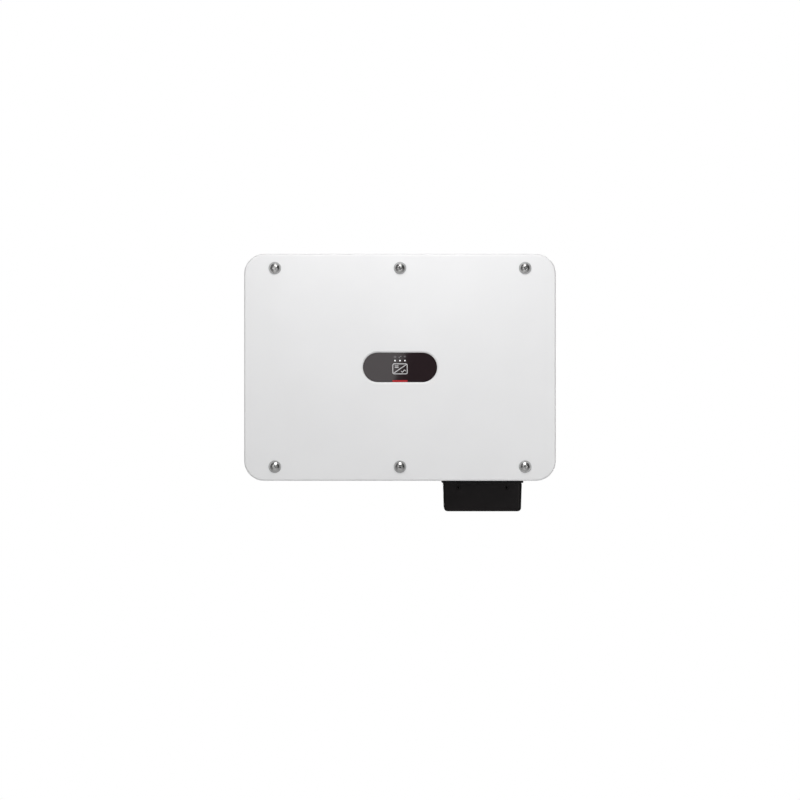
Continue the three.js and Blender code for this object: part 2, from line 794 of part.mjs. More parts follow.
// A tray of wound chokes potted in an aluminium can.
function inductorPack() {
  const parts = [block(-278, -22, SEAT_Y - 58, SEAT_Y, 84, 168)];
  for (let i = 0; i < 4; i++) {
    parts.push(rod(25, "y", SEAT_Y - 64, SEAT_Y - 50, [-246 + i * 64, 0, 126], 12));
  }
  return join(...parts);
}

function capacitorBank() {
  const front = SEAT_Y - 9;
  const parts = [block(-5, 285, front, front + 1.6, 82, 166)];
  for (let row = 0; row < 2; row++) {
    for (let i = 0; i < 7; i++) {
      parts.push(rod(17, "y", front - 48, front + 0.5, [18 + i * 41, 0, 104 + row * 40], 8));
    }
  }
  for (const x of [0, 105, 210]) {
    parts.push(block(x - 4, x + 4, front + 1, SEAT_Y, 120, 128)); // spacers
  }
  return join(...parts);
}

function controlBoard() {
  const back = POWER_BOARD_Y - 44;
  const board = block(-100, 100, back - 1.6, back, -80, 40);
  const chips = [
    block(-20, 20, back - 5, back - 1, -30, 10),
    block(40, 64, back - 4, back - 1, -20, 4),
    block(-70, -50, back - 4, back - 1, -60, -40),
    block(-92, -60, back - 12, back - 1, 22, 34),
    block(60, 92, back - 12, back - 1, 22, 34),
    block(-30, 30, back - 12, back - 1, -76, -66),
  ];
  const posts = [-94, 94].flatMap((x) =>
    [-74, 34].map((z) => rod(3, "y", back - 1, POWER_BOARD_Y - 2, [x, 0, z], 8)),
  );
  return join(board, ...chips, ...posts);
}

// Common-mode chokes and their capacitors on the way to the mains terminals.
function filterBoard() {
  const front = SEAT_Y - 12;
  const parts = [block(90, 288, front, front + 1.6, -176, -126)];
  for (const x of [125, 180]) {
    parts.push(
      turned(
        [
          [9, front - 26],
          [22, front - 26],
          [22, front + 0.5],
          [9, front + 0.5],
          [9, front - 26],
        ],
        "y",
        12,
      ).translate([x, 0, -151]),
    );
  }
  for (const x of [222, 248]) {
    parts.push(block(x - 10, x + 10, front - 18, front + 0.5, -172, -132));
  }
  for (const x of [100, 278]) {
    parts.push(block(x - 4, x + 4, front + 1, BACK_Y - BODY_WALL - GAP, -166, -158)); // spacers
  }
  return join(...parts);
}

function surgeProtector() {
  const parts = [block(-218, -52, SEAT_Y - 44, SEAT_Y, -168, -128)];
  for (let i = 0; i < 6; i++) {
    const x = -204 + i * 27.6;
    parts.push(block(x - 11, x + 11, SEAT_Y - 54, SEAT_Y - 43, -162, -134));
  }
  return join(...parts);
}

// ---------------------------------------------------------------- the assembly

const inverter = new THREE.Group();

function place(parent, name, body, material, at = [0, 0, 0]) {
  const mesh = new THREE.Mesh(geometryOf(body), material);
  mesh.name = name;
  mesh.position.set(...at);
  parent.add(mesh);
  return mesh;
}

function level(z) {
  const group = new THREE.Group();
  group.position.z = z;
  inverter.add(group);
  return group;
}

// Wall bracket, hangers and their locking bolts.
const boltX = BRACKET_WIDTH / 2 + 6 + SHEET + GAP;
place(inverter, "wall_bracket", wallBracket(), finishes.steel());
for (const [name, side] of Object.entries({ left: -1, right: 1 })) {
  place(inverter, `hanger_${name}`, hanger(side), finishes.steel());
  const at = [side * boltX, LOCK_Y, LOCK_Z];
  const bolt = place(inverter, `bracket_lock_bolt_${name}`, hexBolt(16), finishes.steel(), at);
  if (side < 0) bolt.rotation.z = Math.PI;
}

// Housing, heat sink and the electronics inside.
const enclosure = level(CENTRE_Z);
place(enclosure, "housing", housing(), finishes.greyPaint());
place(enclosure, "heat_sink", heatSink(), finishes.castAluminium());
place(enclosure, "cover_gasket", coverGasket(), finishes.rubber());
place(enclosure, "power_module", powerModule(), finishes.blackPlastic());
place(enclosure, "power_board", powerBoard(), finishes.circuitBoard());
place(enclosure, "inductor_pack", inductorPack(), finishes.castAluminium());
place(enclosure, "capacitor_bank", capacitorBank(), finishes.blackPlastic());
place(enclosure, "control_board", controlBoard(), finishes.circuitBoard());
place(enclosure, "filter_board", filterBoard(), finishes.circuitBoard());
place(enclosure, "surge_protector", surgeProtector(), finishes.greyPlastic());
const earthAt = [BODY_WIDTH / 2 + GAP, ...EARTH_AT];
place(enclosure, "earth_bolt", hexBolt(7), finishes.steel(), earthAt);

// Front cover with its screws and the indicator window.
place(enclosure, "front_cover", frontCover(), finishes.whitePaint());
place(enclosure, "indicator_window", indicatorWindow(), finishes.blackGlass());
place(enclosure, "indicator_board", indicatorBoard(), finishes.circuitBoard());
for (let i = 0; i < 3; i++) {
  const at = [(i - 1) * LAMP_PITCH, 0, LAMP_Z];
  place(enclosure, `light_pipe_${i + 1}`, lightPipe(), finishes.clearPlastic(), at);
}
screwPlaces.forEach(([x, z], i) => {
  place(enclosure, `cover_screw_${i + 1}`, coverScrew(), finishes.steel(), [x, FACE_Y, z]);
});

// Isolator, photovoltaic connectors and ports.
const underside = level(UNDERSIDE_Z);
place(underside, "dc_switch_body", switchBody(), finishes.greyPlastic(), [...SWITCH_AT, 0]);
place(underside, "dc_switch_plate", switchPlate(), finishes.blackPlastic(), [...SWITCH_AT, 0]);
place(underside, "dc_switch_shaft", switchShaft(), finishes.steel(), [...SWITCH_AT, 0]);
place(underside, "dc_switch_knob", switchKnob(), finishes.blackPlastic(), [...SWITCH_AT, 0]);
for (let i = 0; i < PLUG_COUNT; i++) {
  const x = PLUG_FIRST_X + i * PLUG_PITCH;
  const at = (row) => [x, PLUG_ROWS[row], 0];
  const dark = finishes.blackPlastic;
  place(underside, `dc_connector_plus_${i + 1}`, panelConnector(plusPlug), dark(), at("plus"));
  place(underside, `dc_connector_minus_${i + 1}`, panelConnector(minusPlug), dark(), at("minus"));
}
place(underside, "com_port", port(11, 7.5), finishes.blackPlastic(), [...COM_AT, 0]);
place(underside, "com_port_cap", portCap(11), finishes.blackPlastic(), [...COM_AT, 0]);
place(underside, "dongle_port", port(13, 9.5), finishes.blackPlastic(), [...DONGLE_AT, 0]);
place(underside, "dongle_port_cap", portCap(13), finishes.blackPlastic(), [...DONGLE_AT, 0]);
place(underside, "vent_valve", ventValve(), finishes.blackPlastic(), [...VALVE_AT, 0]);

// Mains wiring box.
const wiringBox = level(COVER_BOTTOM_Z);
[wiringBox.position.x, wiringBox.position.y] = BOX_AT;
place(wiringBox, "ac_box_base", boxBase(), finishes.blackPlastic());
place(wiringBox, "ac_box_seal", boxSeal(), finishes.rubber());
place(wiringBox, "ac_box_lid", boxLid(), finishes.blackPlastic());
place(wiringBox, "ac_cable_grommet", cableGrommet(), finishes.rubber());
place(wiringBox, "ac_terminal_block", terminalBlock(), finishes.greyPlastic());
for (const [name, side] of Object.entries({ left: -1, right: 1 })) {
  const at = [side * LID_SCREW_X, 1.7 - BOX_DEPTH / 2, LID_SCREW_Z];
  place(wiringBox, `ac_box_screw_${name}`, lidScrew(), finishes.steel(), at);
}

export default inverter;
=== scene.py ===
"""Looks for a wall-mounted string inverter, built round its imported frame.

Lengths are metres. +X is right and +Z is up as seen from the front, and +Y points into the wall.
"""

import math
import random

import bmesh
import bpy
from mathutils import Matrix, Vector


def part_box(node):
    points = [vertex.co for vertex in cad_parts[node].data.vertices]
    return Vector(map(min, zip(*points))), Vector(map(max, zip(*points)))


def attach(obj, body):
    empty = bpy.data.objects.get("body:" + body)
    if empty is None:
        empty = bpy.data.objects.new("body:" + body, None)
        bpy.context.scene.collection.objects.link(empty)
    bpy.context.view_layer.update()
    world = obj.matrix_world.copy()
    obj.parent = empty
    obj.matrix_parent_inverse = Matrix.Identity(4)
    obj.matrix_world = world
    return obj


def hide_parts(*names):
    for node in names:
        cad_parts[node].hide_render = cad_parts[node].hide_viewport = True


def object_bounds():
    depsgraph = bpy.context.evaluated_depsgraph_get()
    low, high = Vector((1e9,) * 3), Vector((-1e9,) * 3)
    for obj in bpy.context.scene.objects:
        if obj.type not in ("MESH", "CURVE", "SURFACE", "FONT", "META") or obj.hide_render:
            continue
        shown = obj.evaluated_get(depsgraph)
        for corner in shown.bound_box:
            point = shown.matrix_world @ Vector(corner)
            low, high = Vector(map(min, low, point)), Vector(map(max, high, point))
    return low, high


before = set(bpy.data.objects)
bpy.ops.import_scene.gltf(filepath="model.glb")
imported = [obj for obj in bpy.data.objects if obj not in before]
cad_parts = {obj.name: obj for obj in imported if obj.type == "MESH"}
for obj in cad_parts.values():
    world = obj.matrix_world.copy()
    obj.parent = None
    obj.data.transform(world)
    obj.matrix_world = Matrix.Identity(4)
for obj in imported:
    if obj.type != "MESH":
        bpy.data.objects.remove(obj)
CAD_BOX = [list(corner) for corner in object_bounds()]
MM = 0.001
TAU = 2 * math.pi


# ------------------------------------------------------------------ outlines

def arc(x, y, radius, start, end, steps):
    """Points of a circular arc, both ends included. Angles are in turns."""
    angles = [TAU * (start + (end - start) * i / steps) for i in range(steps + 1)]
    return [(x + radius * math.cos(a), y + radius * math.sin(a)) for a in angles]


def rounded_rect(width, height, radius, steps=12, centre=(0, 0)):
    right = width / 2 - radius
    top = height / 2 - radius
    x, y = centre
    points = arc(x + right, y + top, radius, 0, 0.25, steps)
    points += arc(x - right, y + top, radius, 0.25, 0.5, steps)
    points += arc(x - right, y - top, radius, 0.5, 0.75, steps)
    points += arc(x + right, y - top, radius, 0.75, 1, steps)
    return points


def pill(width, height, steps=18, centre=(0, 0)):
    return rounded_rect(width, height, height / 2 - 1e-5, steps, centre)


def circle(radius, steps=40, centre=(0, 0)):
    return arc(*centre, radius, 0, 1, steps)[:-1]


def hexagon(radius, centre=(0, 0), turn=0.0):
    return arc(*centre, radius, turn, turn + 1, 6)[:-1]


def fillet(points, radius, steps=4):
    """An open polyline with its inner corners rounded. radius is one number, or one for each point."""
    radii = radius if isinstance(radius, (list, tuple)) else [radius] * len(points)
    rounded = [points[0]]
    for i in range(1, len(points) - 1):
        before, here, after = (Vector(p) for p in points[i - 1:i + 2])
        back = before - here
        ahead = after - here
        reach = min(radii[i], back.length * 0.45, ahead.length * 0.45)
        if reach < 1e-6:
            rounded.append(tuple(here))
            continue
        start = here + back.normalized() * reach
        end = here + ahead.normalized() * reach
        for k in range(steps + 1):
            t = k / steps
            curve = start * (1 - t) ** 2 + here * 2 * t * (1 - t) + end * t * t
            rounded.append(tuple(curve))
    rounded.append(points[-1])
    return rounded


# ------------------------------------------------------------------ solids

PLANES = {
    "plan": lambda u, v, d: (u, v, d),
    "front": lambda u, v, d: (u, d, v),
    "side": lambda u, v, d: (d, u, v),
}


class Solid:
    """A closed mesh built from rings. An outline's two coordinates lie in the plane; depth is across it."""

    def __init__(self, plane="plan", at=(0, 0, 0)):
        self.bm = bmesh.new()
        self.place = PLANES[plane]
        self.at = Vector(at)
        self.slot = 0

    def ring(self, outline, depth):
        return [self.bm.verts.new(self.at + Vector(self.place(u, v, depth))) for u, v in outline]

    def face(self, corners):
        made = self.bm.faces.new(corners)
        made.material_index = self.slot
        return made

    def bridge(self, first, second):
        for i, here in enumerate(first):
            follows = (i + 1) % len(first)
            self.face((here, first[follows], second[follows], second[i]))

    def cap(self, *rings):
        """Closes a ring with a flat face. Further rings are holes in it."""
        if len(rings) == 1:
            self.face(rings[0])
            return
        edges = []
        for ring in rings:
            for i, vert in enumerate(ring):
                pair = (vert, ring[(i + 1) % len(ring)])
                edges.append(self.bm.edges.get(pair) or self.bm.edges.new(pair))
        filled = bmesh.ops.triangle_fill(self.bm, edges=edges, use_beauty=True)
        for item in filled["geom"]:
            if isinstance(item, bmesh.types.BMFace):
                item.material_index = self.slot

    def loft(self, outline, profile, ends="caps"):
        """Carries outline(grow) along a profile of (grow, depth) points. Returns its end rings."""
        rings = [self.ring(outline(grow), depth) for grow, depth in profile]
        for first, second in zip(rings, rings[1:]):
            self.bridge(first, second)
        if ends == "caps":
            self.cap(rings[0])
            self.cap(rings[-1])
        if ends == "loop":
            self.bridge(rings[-1], rings[0])
        return rings[0], rings[-1]

    def lathe(self, profile, steps=40, centre=(0, 0)):
        """Turns a profile of (radius, depth) points. Its ends are closed flat."""
        return self.loft(lambda radius: circle(radius, steps, centre), profile)

    def tube(self, outer, inner, low, high, steps=40, centre=(0, 0)):
        profile = [(inner, low), (outer, low), (outer, high), (inner, high)]
        return self.loft(lambda radius: circle(radius, steps, centre), profile, "loop")

    def block(self, low, high):
        """A box between two corners given in the frame's own axes."""
        made = bmesh.ops.create_cube(self.bm, size=1)["verts"]
        size = [b - a for a, b in zip(low, high)]
        middle = [(a + b) / 2 for a, b in zip(low, high)]
        bmesh.ops.scale(self.bm, verts=made, vec=size)
        bmesh.ops.translate(self.bm, verts=made, vec=self.at + Vector(middle))
        for made_face in {f for vert in made for f in vert.link_faces}:
            made_face.material_index = self.slot

    def prism(self, outline, low, high, edge=0.0, steps=2):
        """outline(grow) between two depths, with rounded rims."""
        profile = [(0, low), (0, high)]
        if edge:
            profile = [(-2 * edge, low), (0, low), (0, high), (-2 * edge, high)]
            profile = fillet(profile, edge, steps)
        return self.loft(outline, profile)

    def wire(self, points, radius, sides=8, closed=False):
        """A round bar along points given in the frame's own axes."""
        path = [Vector(p) for p in points]
        rings = []
        count = len(path)
        for i, here in enumerate(path):
            ahead = path[(i + 1) % count] if closed or i + 1 < count else here
            back = path[i - 1] if closed or i > 0 else here
            along = (ahead - back).normalized()
            side = along.cross(Vector((0, 0, 1)))
            if side.length < 0.1:
                side = along.cross(Vector((1, 0, 0)))
            side.normalize()
            rise = along.cross(side)
            ring = []
            for k in range(sides):
                a = TAU * k / sides
                offset = (side * math.cos(a) + rise * math.sin(a)) * radius
                ring.append(self.bm.verts.new(self.at + here + offset))
            rings.append(ring)
        for first, second in zip(rings, rings[1:]):
            self.bridge(first, second)
        if closed:
            self.bridge(rings[-1], rings[0])
        else:
            self.cap(rings[0])
            self.cap(rings[-1])


def mesh_object(name, solid, materials):
    bm = solid.bm
    bmesh.ops.remove_doubles(bm, verts=bm.verts, dist=1e-6)
    bmesh.ops.recalc_face_normals(bm, faces=bm.faces)
    mesh = bpy.data.meshes.new(name)
    bm.to_mesh(mesh)
    bm.free()
    for material in materials if isinstance(materials, (list, tuple)) else [materials]:
        mesh.materials.append(material)
    made = bpy.data.objects.new(name, mesh)
    bpy.context.scene.collection.objects.link(made)
    return made


def carve(target, operation, cutter):
    """Joins a solid to a mesh object, or cuts it out of it, for good."""
    tool = mesh_object(target.name + "_tool", cutter, target.data.materials[0])
    step = target.modifiers.new(operation, "BOOLEAN")
    step.operation = operation
    step.solver = "EXACT"
    step.object = tool
    graph = bpy.context.evaluated_depsgraph_get()
    done = bpy.data.meshes.new_from_object(target.evaluated_get(graph))
    target.modifiers.clear()
    target.data = done
    bpy.data.objects.remove(tool)
    return target


def finish_piece(made, body, replaces=(), edge=0.3 * MM, at=None, smooth=35):
    """Softens a piece's edges, hides the parts it stands in for and lets it ride on its body."""
    for polygon in made.data.polygons:
        polygon.use_smooth = True
    made.data.set_sharp_from_angle(angle=math.radians(smooth))
    if edge:
        bevel = made.modifiers.new("edges", "BEVEL")
        bevel.width = edge
        bevel.segments = 2
        bevel.limit_method = "ANGLE"
        bevel.angle_limit = math.radians(40)
        bevel.use_clamp_overlap = True
        bevel.harden_normals = True
    if at is not None:
        made.location = at
    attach(made, body)
    if replaces:
        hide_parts(*replaces)
    return made


def piece(name, solid, materials, body, replaces=(), edge=0.3 * MM, at=None, smooth=35):
    made = mesh_object(name, solid, materials)
    return finish_piece(made, body, replaces, edge, at, smooth)


# ------------------------------------------------------------------ materials

class Look:
    """A procedural material under construction, in the piece's own coordinates."""

    def __init__(self, name, colour, rough, metal=0.0):
        self.material = bpy.data.materials.new(name)
        self.material.use_nodes = True
        self.tree = self.material.node_tree
        self.shader = self.tree.nodes["Principled BSDF"]
        self.shader.inputs["Base Color"].default_value = (*colour, 1)
        self.shader.inputs["Roughness"].default_value = rough
        self.shader.inputs["Metallic"].default_value = metal
        self.colour = colour
        self.rough = rough
        self.coords = self.tree.nodes.new("ShaderNodeTexCoord").outputs["Object"]
        self.bump_output = None

    def link(self, source, target):
        self.tree.links.new(source, target)

    def noise(self, scale, detail=3.0, stretch=(1, 1, 1)):
        """A noise field. scale is its number of cells in a metre."""
        mapping = self.tree.nodes.new("ShaderNodeMapping")
        mapping.inputs["Scale"].default_value = stretch
        self.link(self.coords, mapping.inputs["Vector"])
        node = self.tree.nodes.new("ShaderNodeTexNoise")
        node.inputs["Scale"].default_value = scale
        node.inputs["Detail"].default_value = detail
        self.link(mapping.outputs["Vector"], node.inputs["Vector"])
        return node.outputs["Fac"]

    def cells(self, scale, feature="F1", output="Distance"):
        node = self.tree.nodes.new("ShaderNodeTexVoronoi")
        node.feature = feature
        node.inputs["Scale"].default_value = scale
        self.link(self.coords, node.inputs["Vector"])
        return node.outputs[output]

    def spread(self, source, low, high, source_low=0.3, source_high=0.7):
        """Maps a field onto a range of values."""
        node = self.tree.nodes.new("ShaderNodeMapRange")
        node.inputs["From Min"].default_value = source_low
        node.inputs["From Max"].default_value = source_high
        node.inputs["To Min"].default_value = low
        node.inputs["To Max"].default_value = high
        self.link(source, node.inputs["Value"])
        return node.outputs["Result"]

    def tint(self, source, low, high, source_low=0.3, source_high=0.7):
        """Colours the surface between two shares of its own colour, or between two colours."""
        ramp = self.tree.nodes.new("ShaderNodeValToRGB")
        for stop, place, shade in zip(ramp.color_ramp.elements, (source_low, source_high), (low, high)):
            mixed = shade if isinstance(shade, tuple) else tuple(min(c * shade, 1) for c in self.colour)
            stop.position = place
            stop.color = (*mixed, 1)
        self.link(source, ramp.inputs["Fac"])
        self.link(ramp.outputs["Color"], self.shader.inputs["Base Color"])
        return self

    def roughen(self, source, amount):
        low = max(self.rough - amount, 0.02)
        self.link(self.spread(source, low, self.rough + amount), self.shader.inputs["Roughness"])
        return self

    def bump(self, source, depth, strength=1.0):
        """Adds relief of the given depth in metres to what is there already."""
        node = self.tree.nodes.new("ShaderNodeBump")
        node.inputs["Strength"].default_value = strength
        node.inputs["Distance"].default_value = depth
        self.link(source, node.inputs["Height"])
        if self.bump_output:
            self.link(self.bump_output, node.inputs["Normal"])
        self.bump_output = node.outputs["Normal"]
        self.link(self.bump_output, self.shader.inputs["Normal"])
        return self

    def set(self, **inputs):
        for name, value in inputs.items():
            self.shader.inputs[name.replace("_", " ")].default_value = value
        return self


def powder_coat(name, colour, rough):
    """Satin powder coat: a fine orange peel over a faint cloudiness."""
    look = Look(name, colour, rough)
    look.tint(look.noise(7, 2), 0.985, 1.01)
    look.roughen(look.noise(60, 3), 0.04)
    look.bump(look.noise(900, 2), 0.02 * MM, 0.5)
    look.bump(look.noise(260, 2), 0.03 * MM, 0.4)
    look.set(Specular_IOR_Level=0.45)
    return look.material


def cast_metal(name, colour, rough):
    """Raw die-cast aluminium, a little mottled."""
    look = Look(name, colour, rough, 0.85)
    look.tint(look.noise(45, 5), 0.82, 1.12)
    look.roughen(look.noise(120, 4), 0.1)
    look.bump(look.noise(1400, 4), 0.03 * MM, 0.8)
    return look.material


def galvanised(name):
    """Zinc coat with large, faint crystals."""
    look = Look(name, (0.55, 0.56, 0.57), 0.36, 0.9)
    crystals = look.cells(90, output="Color")
    look.tint(crystals, 0.93, 1.05, 0.1, 0.9)
    look.roughen(crystals, 0.035)
    look.bump(look.noise(500, 4), 0.015 * MM, 0.7)
    return look.material


def turned_steel(name, colour=(0.66, 0.655, 0.65), rough=0.24):
    """Lathe-turned stainless steel: rings about the piece's own Y axis."""
    look = Look(name, colour, rough, 1.0)
    rings = look.tree.nodes.new("ShaderNodeTexWave")
    rings.wave_type = "RINGS"
    rings.rings_direction = "Y"
    rings.inputs["Scale"].default_value = 900
    rings.inputs["Distortion"].default_value = 0.4
    look.link(look.coords, rings.inputs["Vector"])
    look.bump(rings.outputs["Fac"], 0.004 * MM, 0.5)
    look.tint(look.noise(300, 3), 0.92, 1.05)
    look.roughen(look.noise(700, 3), 0.05)
    look.set(Anisotropic=0.7)
    tangent = look.tree.nodes.new("ShaderNodeTangent")
    tangent.direction_type = "RADIAL"
    tangent.axis = "Y"
    look.link(tangent.outputs["Tangent"], look.shader.inputs["Tangent"])
    return look.material


def plain_steel(name, colour=(0.6, 0.6, 0.6), rough=0.3):
    look = Look(name, colour, rough, 1.0)
    look.tint(look.noise(260, 4), 0.88, 1.08)
    look.roughen(look.noise(500, 3), 0.07)
    look.bump(look.noise(1800, 3), 0.008 * MM, 0.6)
    return look.material


def moulded(name, colour, rough, grain=1500, relief=0.03 * MM, shine=0.4):
    """Plastic with a spark-eroded grain."""
    look = Look(name, colour, rough)
    look.tint(look.noise(22, 3), 0.9, 1.12)
    look.roughen(look.noise(80, 3), 0.05)
    look.bump(look.noise(grain, 2), relief, 0.7)
    look.set(Specular_IOR_Level=shine)
    return look.material


def polished(name, colour, rough=0.05):
    look = Look(name, colour, rough)
    look.tint(look.noise(12, 2), 0.95, 1.05)
    look.roughen(look.noise(35, 3), 0.012)
    look.bump(look.noise(40, 2), 0.002 * MM, 0.2)
    look.set(Specular_IOR_Level=0.5)
    return look.material


def rubbery(name, colour=(0.012, 0.012, 0.013)):
    look = Look(name, colour, 0.72)
    look.tint(look.noise(60, 4), 0.8, 1.5)
    look.roughen(look.noise(160, 3), 0.08)
    look.bump(look.noise(2200, 3), 0.02 * MM, 0.7)
    return look.material


def board_mask(name):
    """Green solder mask over copper tracks, with pale pads."""
    look = Look(name, (0.012, 0.11, 0.045), 0.32)
    tracks = look.tree.nodes.new("ShaderNodeTexBrick")
    tracks.inputs["Scale"].default_value = 95
    tracks.inputs["Color1"].default_value = (0.012, 0.12, 0.05, 1)
    tracks.inputs["Color2"].default_value = (0.01, 0.095, 0.04, 1)
    tracks.inputs["Mortar"].default_value = (0.03, 0.2, 0.085, 1)
    tracks.inputs["Mortar Size"].default_value = 0.06
    turn = look.tree.nodes.new("ShaderNodeMapping")
    turn.inputs["Rotation"].default_value = (math.pi / 2, 0, 0)
    look.link(look.coords, turn.inputs["Vector"])
    look.link(turn.outputs["Vector"], tracks.inputs["Vector"])
    look.link(tracks.outputs["Color"], look.shader.inputs["Base Color"])
    look.bump(tracks.outputs["Fac"], 0.04 * MM, 0.6)
    look.roughen(look.noise(90, 3), 0.05)
    return look.material


def printed(name, colour, rough=0.25, glow=0.0):
    """Ink or a lamp seen through the window."""
    look = Look(name, colour, rough)
    look.tint(look.noise(400, 2), 0.96, 1.03)
    look.roughen(look.noise(500, 2), 0.04)
    look.bump(look.noise(900, 2), 0.002 * MM, 0.3)
    if glow:
        look.set(Emission_Color=(*colour, 1), Emission_Strength=glow)
    return look.material


def copper_wire(name):
    look = Look(name, (0.62, 0.25, 0.1), 0.28, 1.0)
    look.tint(look.noise(300, 3), 0.8, 1.12)
    look.roughen(look.noise(500, 3), 0.06)
    look.bump(look.noise(1500, 2), 0.01 * MM, 0.5)
    return look.material


WHITE_PAINT = powder_coat("white_powder_coat", (0.8, 0.8, 0.805), 0.42)
GREY_PAINT = powder_coat("grey_powder_coat", (0.56, 0.57, 0.58), 0.46)
CAST = cast_metal("cast_aluminium", (0.46, 0.47, 0.48), 0.5)
ZINC = galvanised("galvanised_steel")
TURNED = turned_steel("turned_stainless", (0.56, 0.555, 0.55))
STEEL = plain_steel("stainless_steel")
WASHER = plain_steel("blasted_steel", (0.42, 0.42, 0.42), 0.5)
BLACK = moulded("black_moulding", (0.0095, 0.0082, 0.0085), 0.42, shine=0.1)
GEAR_BLACK = moulded("connector_moulding", (0.02, 0.02, 0.021), 0.36)
GREY = moulded("grey_moulding", (0.1, 0.105, 0.11), 0.48)
PALE = moulded("pale_moulding", (0.5, 0.5, 0.48), 0.45)
RED_MARK = moulded("red_moulding", (0.35, 0.015, 0.012), 0.42)
BLUE_FILM = moulded("blue_film", (0.03, 0.09, 0.3), 0.38)
YELLOW_FILM = moulded("yellow_film", (0.62, 0.42, 0.03), 0.4)
GLASS = polished("window_black", (0.022, 0.0145, 0.0165), 0.02)
CLEAR = polished("clear_plastic", (0.75, 0.78, 0.8), 0.12)
RUBBER = rubbery("seal_rubber")
BOARD = board_mask("solder_mask")
COPPER = copper_wire("enamelled_copper")
EPOXY = moulded("potting_compound", (0.035, 0.036, 0.038), 0.3, 200, 0.1 * MM)
LAMP = printed("lamp_white", (0.86, 0.87, 0.88), 0.2, 0.35)
PALE_INK = printed("pale_ink", (0.62, 0.61, 0.62))
DIM_INK = printed("dim_ink", (0.3, 0.29, 0.295))
RED_INK = printed("red_ink", (0.46, 0.02, 0.025))
WHITE_INK = printed("white_ink", (0.7, 0.7, 0.7), 0.4)


# ------------------------------------------------------------------ stations shared by the pieces

def middle(node):
    low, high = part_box(node)
    return (low + high) / 2


GAP = 0.3 * MM
cover_low, cover_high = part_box("front_cover")
body_low, body_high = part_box("housing")
sink_low, sink_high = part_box("heat_sink")
window_low, window_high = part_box("indicator_window")
board_low, board_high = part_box("indicator_board")
COVER_WIDTH = cover_high.x - cover_low.x
COVER_HEIGHT = cover_high.z - cover_low.z
COVER_CORNER = 41 * MM
COVER_ROUND = 4.6 * MM
COVER_WALL = 3.5 * MM
CENTRE_Z = (cover_low.z + cover_high.z) / 2
FACE_Y = cover_low.y
SEAM_Y = cover_high.y
INSIDE_Y = FACE_Y + COVER_WALL
FRAME_Y = board_low.y - GAP
BACK_Y = body_high.y
RIM_Y = FACE_Y + 9 * MM
FLANGE_Y = SEAM_Y + 8 * MM

BODY_WIDTH = 612 * MM
BODY_TOP = sink_high.z - CENTRE_Z
BODY_BOTTOM = sink_low.z - CENTRE_Z
BODY_CORNER = 27 * MM
BODY_WALL = 5 * MM
SCALLOP = 14 * MM
UNDERSIDE_Z = CENTRE_Z + BODY_BOTTOM
SCREW_HOLE = 3.6 * MM

WINDOW_WIDTH = window_high.x - window_low.x
WINDOW_HEIGHT = window_high.z - window_low.z
WINDOW_CHAMFER = 3.4 * MM
ISLAND = (440 * MM, 300 * MM, 8 * MM)
ISLAND_Y = sink_low.y
SEAT_Y = ISLAND_Y - GAP

SCREWS = [f"cover_screw_{i}" for i in range(1, 7)]
screw_places = [(middle(n).x, middle(n).z) for n in SCREWS]
PLUS = [f"dc_connector_plus_{i}" for i in range(1, 9)]
MINUS = [f"dc_connector_minus_{i}" for i in range(1, 9)]


def cover_outline(grow):
    centre = (0, CENTRE_Z)
    return rounded_rect(COVER_WIDTH + 2 * grow, COVER_HEIGHT + 2 * grow, COVER_CORNER + grow, 16, centre)


def window_outline(grow):
    return pill(WINDOW_WIDTH + 2 * grow, WINDOW_HEIGHT + 2 * grow, 20, (0, CENTRE_Z))


def wall_outline(grow):
    """The housing's wall, with a notch in its top for each upper cover screw."""
    right = BODY_WIDTH / 2 + grow
    top = CENTRE_Z + BODY_TOP + grow
    bottom = CENTRE_Z + BODY_BOTTOM - grow
    corner = BODY_CORNER + grow
    notch = SCALLOP - grow
    upper = sorted({place for place in screw_places if place[1] > CENTRE_Z}, reverse=True)
    points = arc(right - corner, top - corner, corner, 0, 0.25, 12)
    for x, z in upper:
        points.append((x + notch, top))
        points += arc(x, z, notch, 0, -0.5, 16)
        points.append((x - notch, top))
    points += arc(corner - right, top - corner, corner, 0.25, 0.5, 12)
    points += arc(corner - right, bottom + corner, corner, 0.5, 0.75, 12)
    points += arc(right - corner, bottom + corner, corner, 0.75, 1, 12)
    return points


# ------------------------------------------------------------------ front cover

def front_cover():
    solid = Solid("front")
    outside = fillet(
        [(-COVER_WALL, SEAM_Y), (0, SEAM_Y), (0, FACE_Y), (-2 * COVER_ROUND, FACE_Y)],
        [0, 0.5 * MM, COVER_ROUND, 0],
        6,
    )
    inside = fillet(
        [(-COVER_WALL, SEAM_Y), (-COVER_WALL, INSIDE_Y), (-COVER_WALL - 4 * MM, INSIDE_Y)], 1.5 * MM
    )
    floor = window_low.y + 2 * MM + GAP
    window = fillet(
        [
            (WINDOW_CHAMFER + 1.2 * MM, FACE_Y),
            (WINDOW_CHAMFER, FACE_Y),
            (GAP, window_low.y),
            (GAP, floor),
            (-6 * MM, floor),
            (-6 * MM, FRAME_Y),
            (10 * MM, FRAME_Y),
            (10 * MM, INSIDE_Y),
        ],
        [0, 0.5 * MM, 0.3 * MM, 0, 0.3 * MM, 0.3 * MM, 0.5 * MM, 0],
        3,
    )
    _, face = solid.loft(cover_outline, outside, None)
    _, back = solid.loft(cover_outline, inside, None)
    window_front, window_back = solid.loft(window_outline, window, None)
    front_holes = []
    back_holes = []
    for place in screw_places:
        hole = solid.loft(lambda g: circle(SCREW_HOLE + g, 24, place), [(0, FACE_Y), (0, INSIDE_Y)], None)
        front_holes.append(hole[0])
        back_holes.append(hole[1])
    solid.cap(face, window_front, *front_holes)
    solid.cap(back, window_back, *back_holes)
    piece("cover_shell", solid, WHITE_PAINT, "front_cover", ["front_cover"], edge=0)


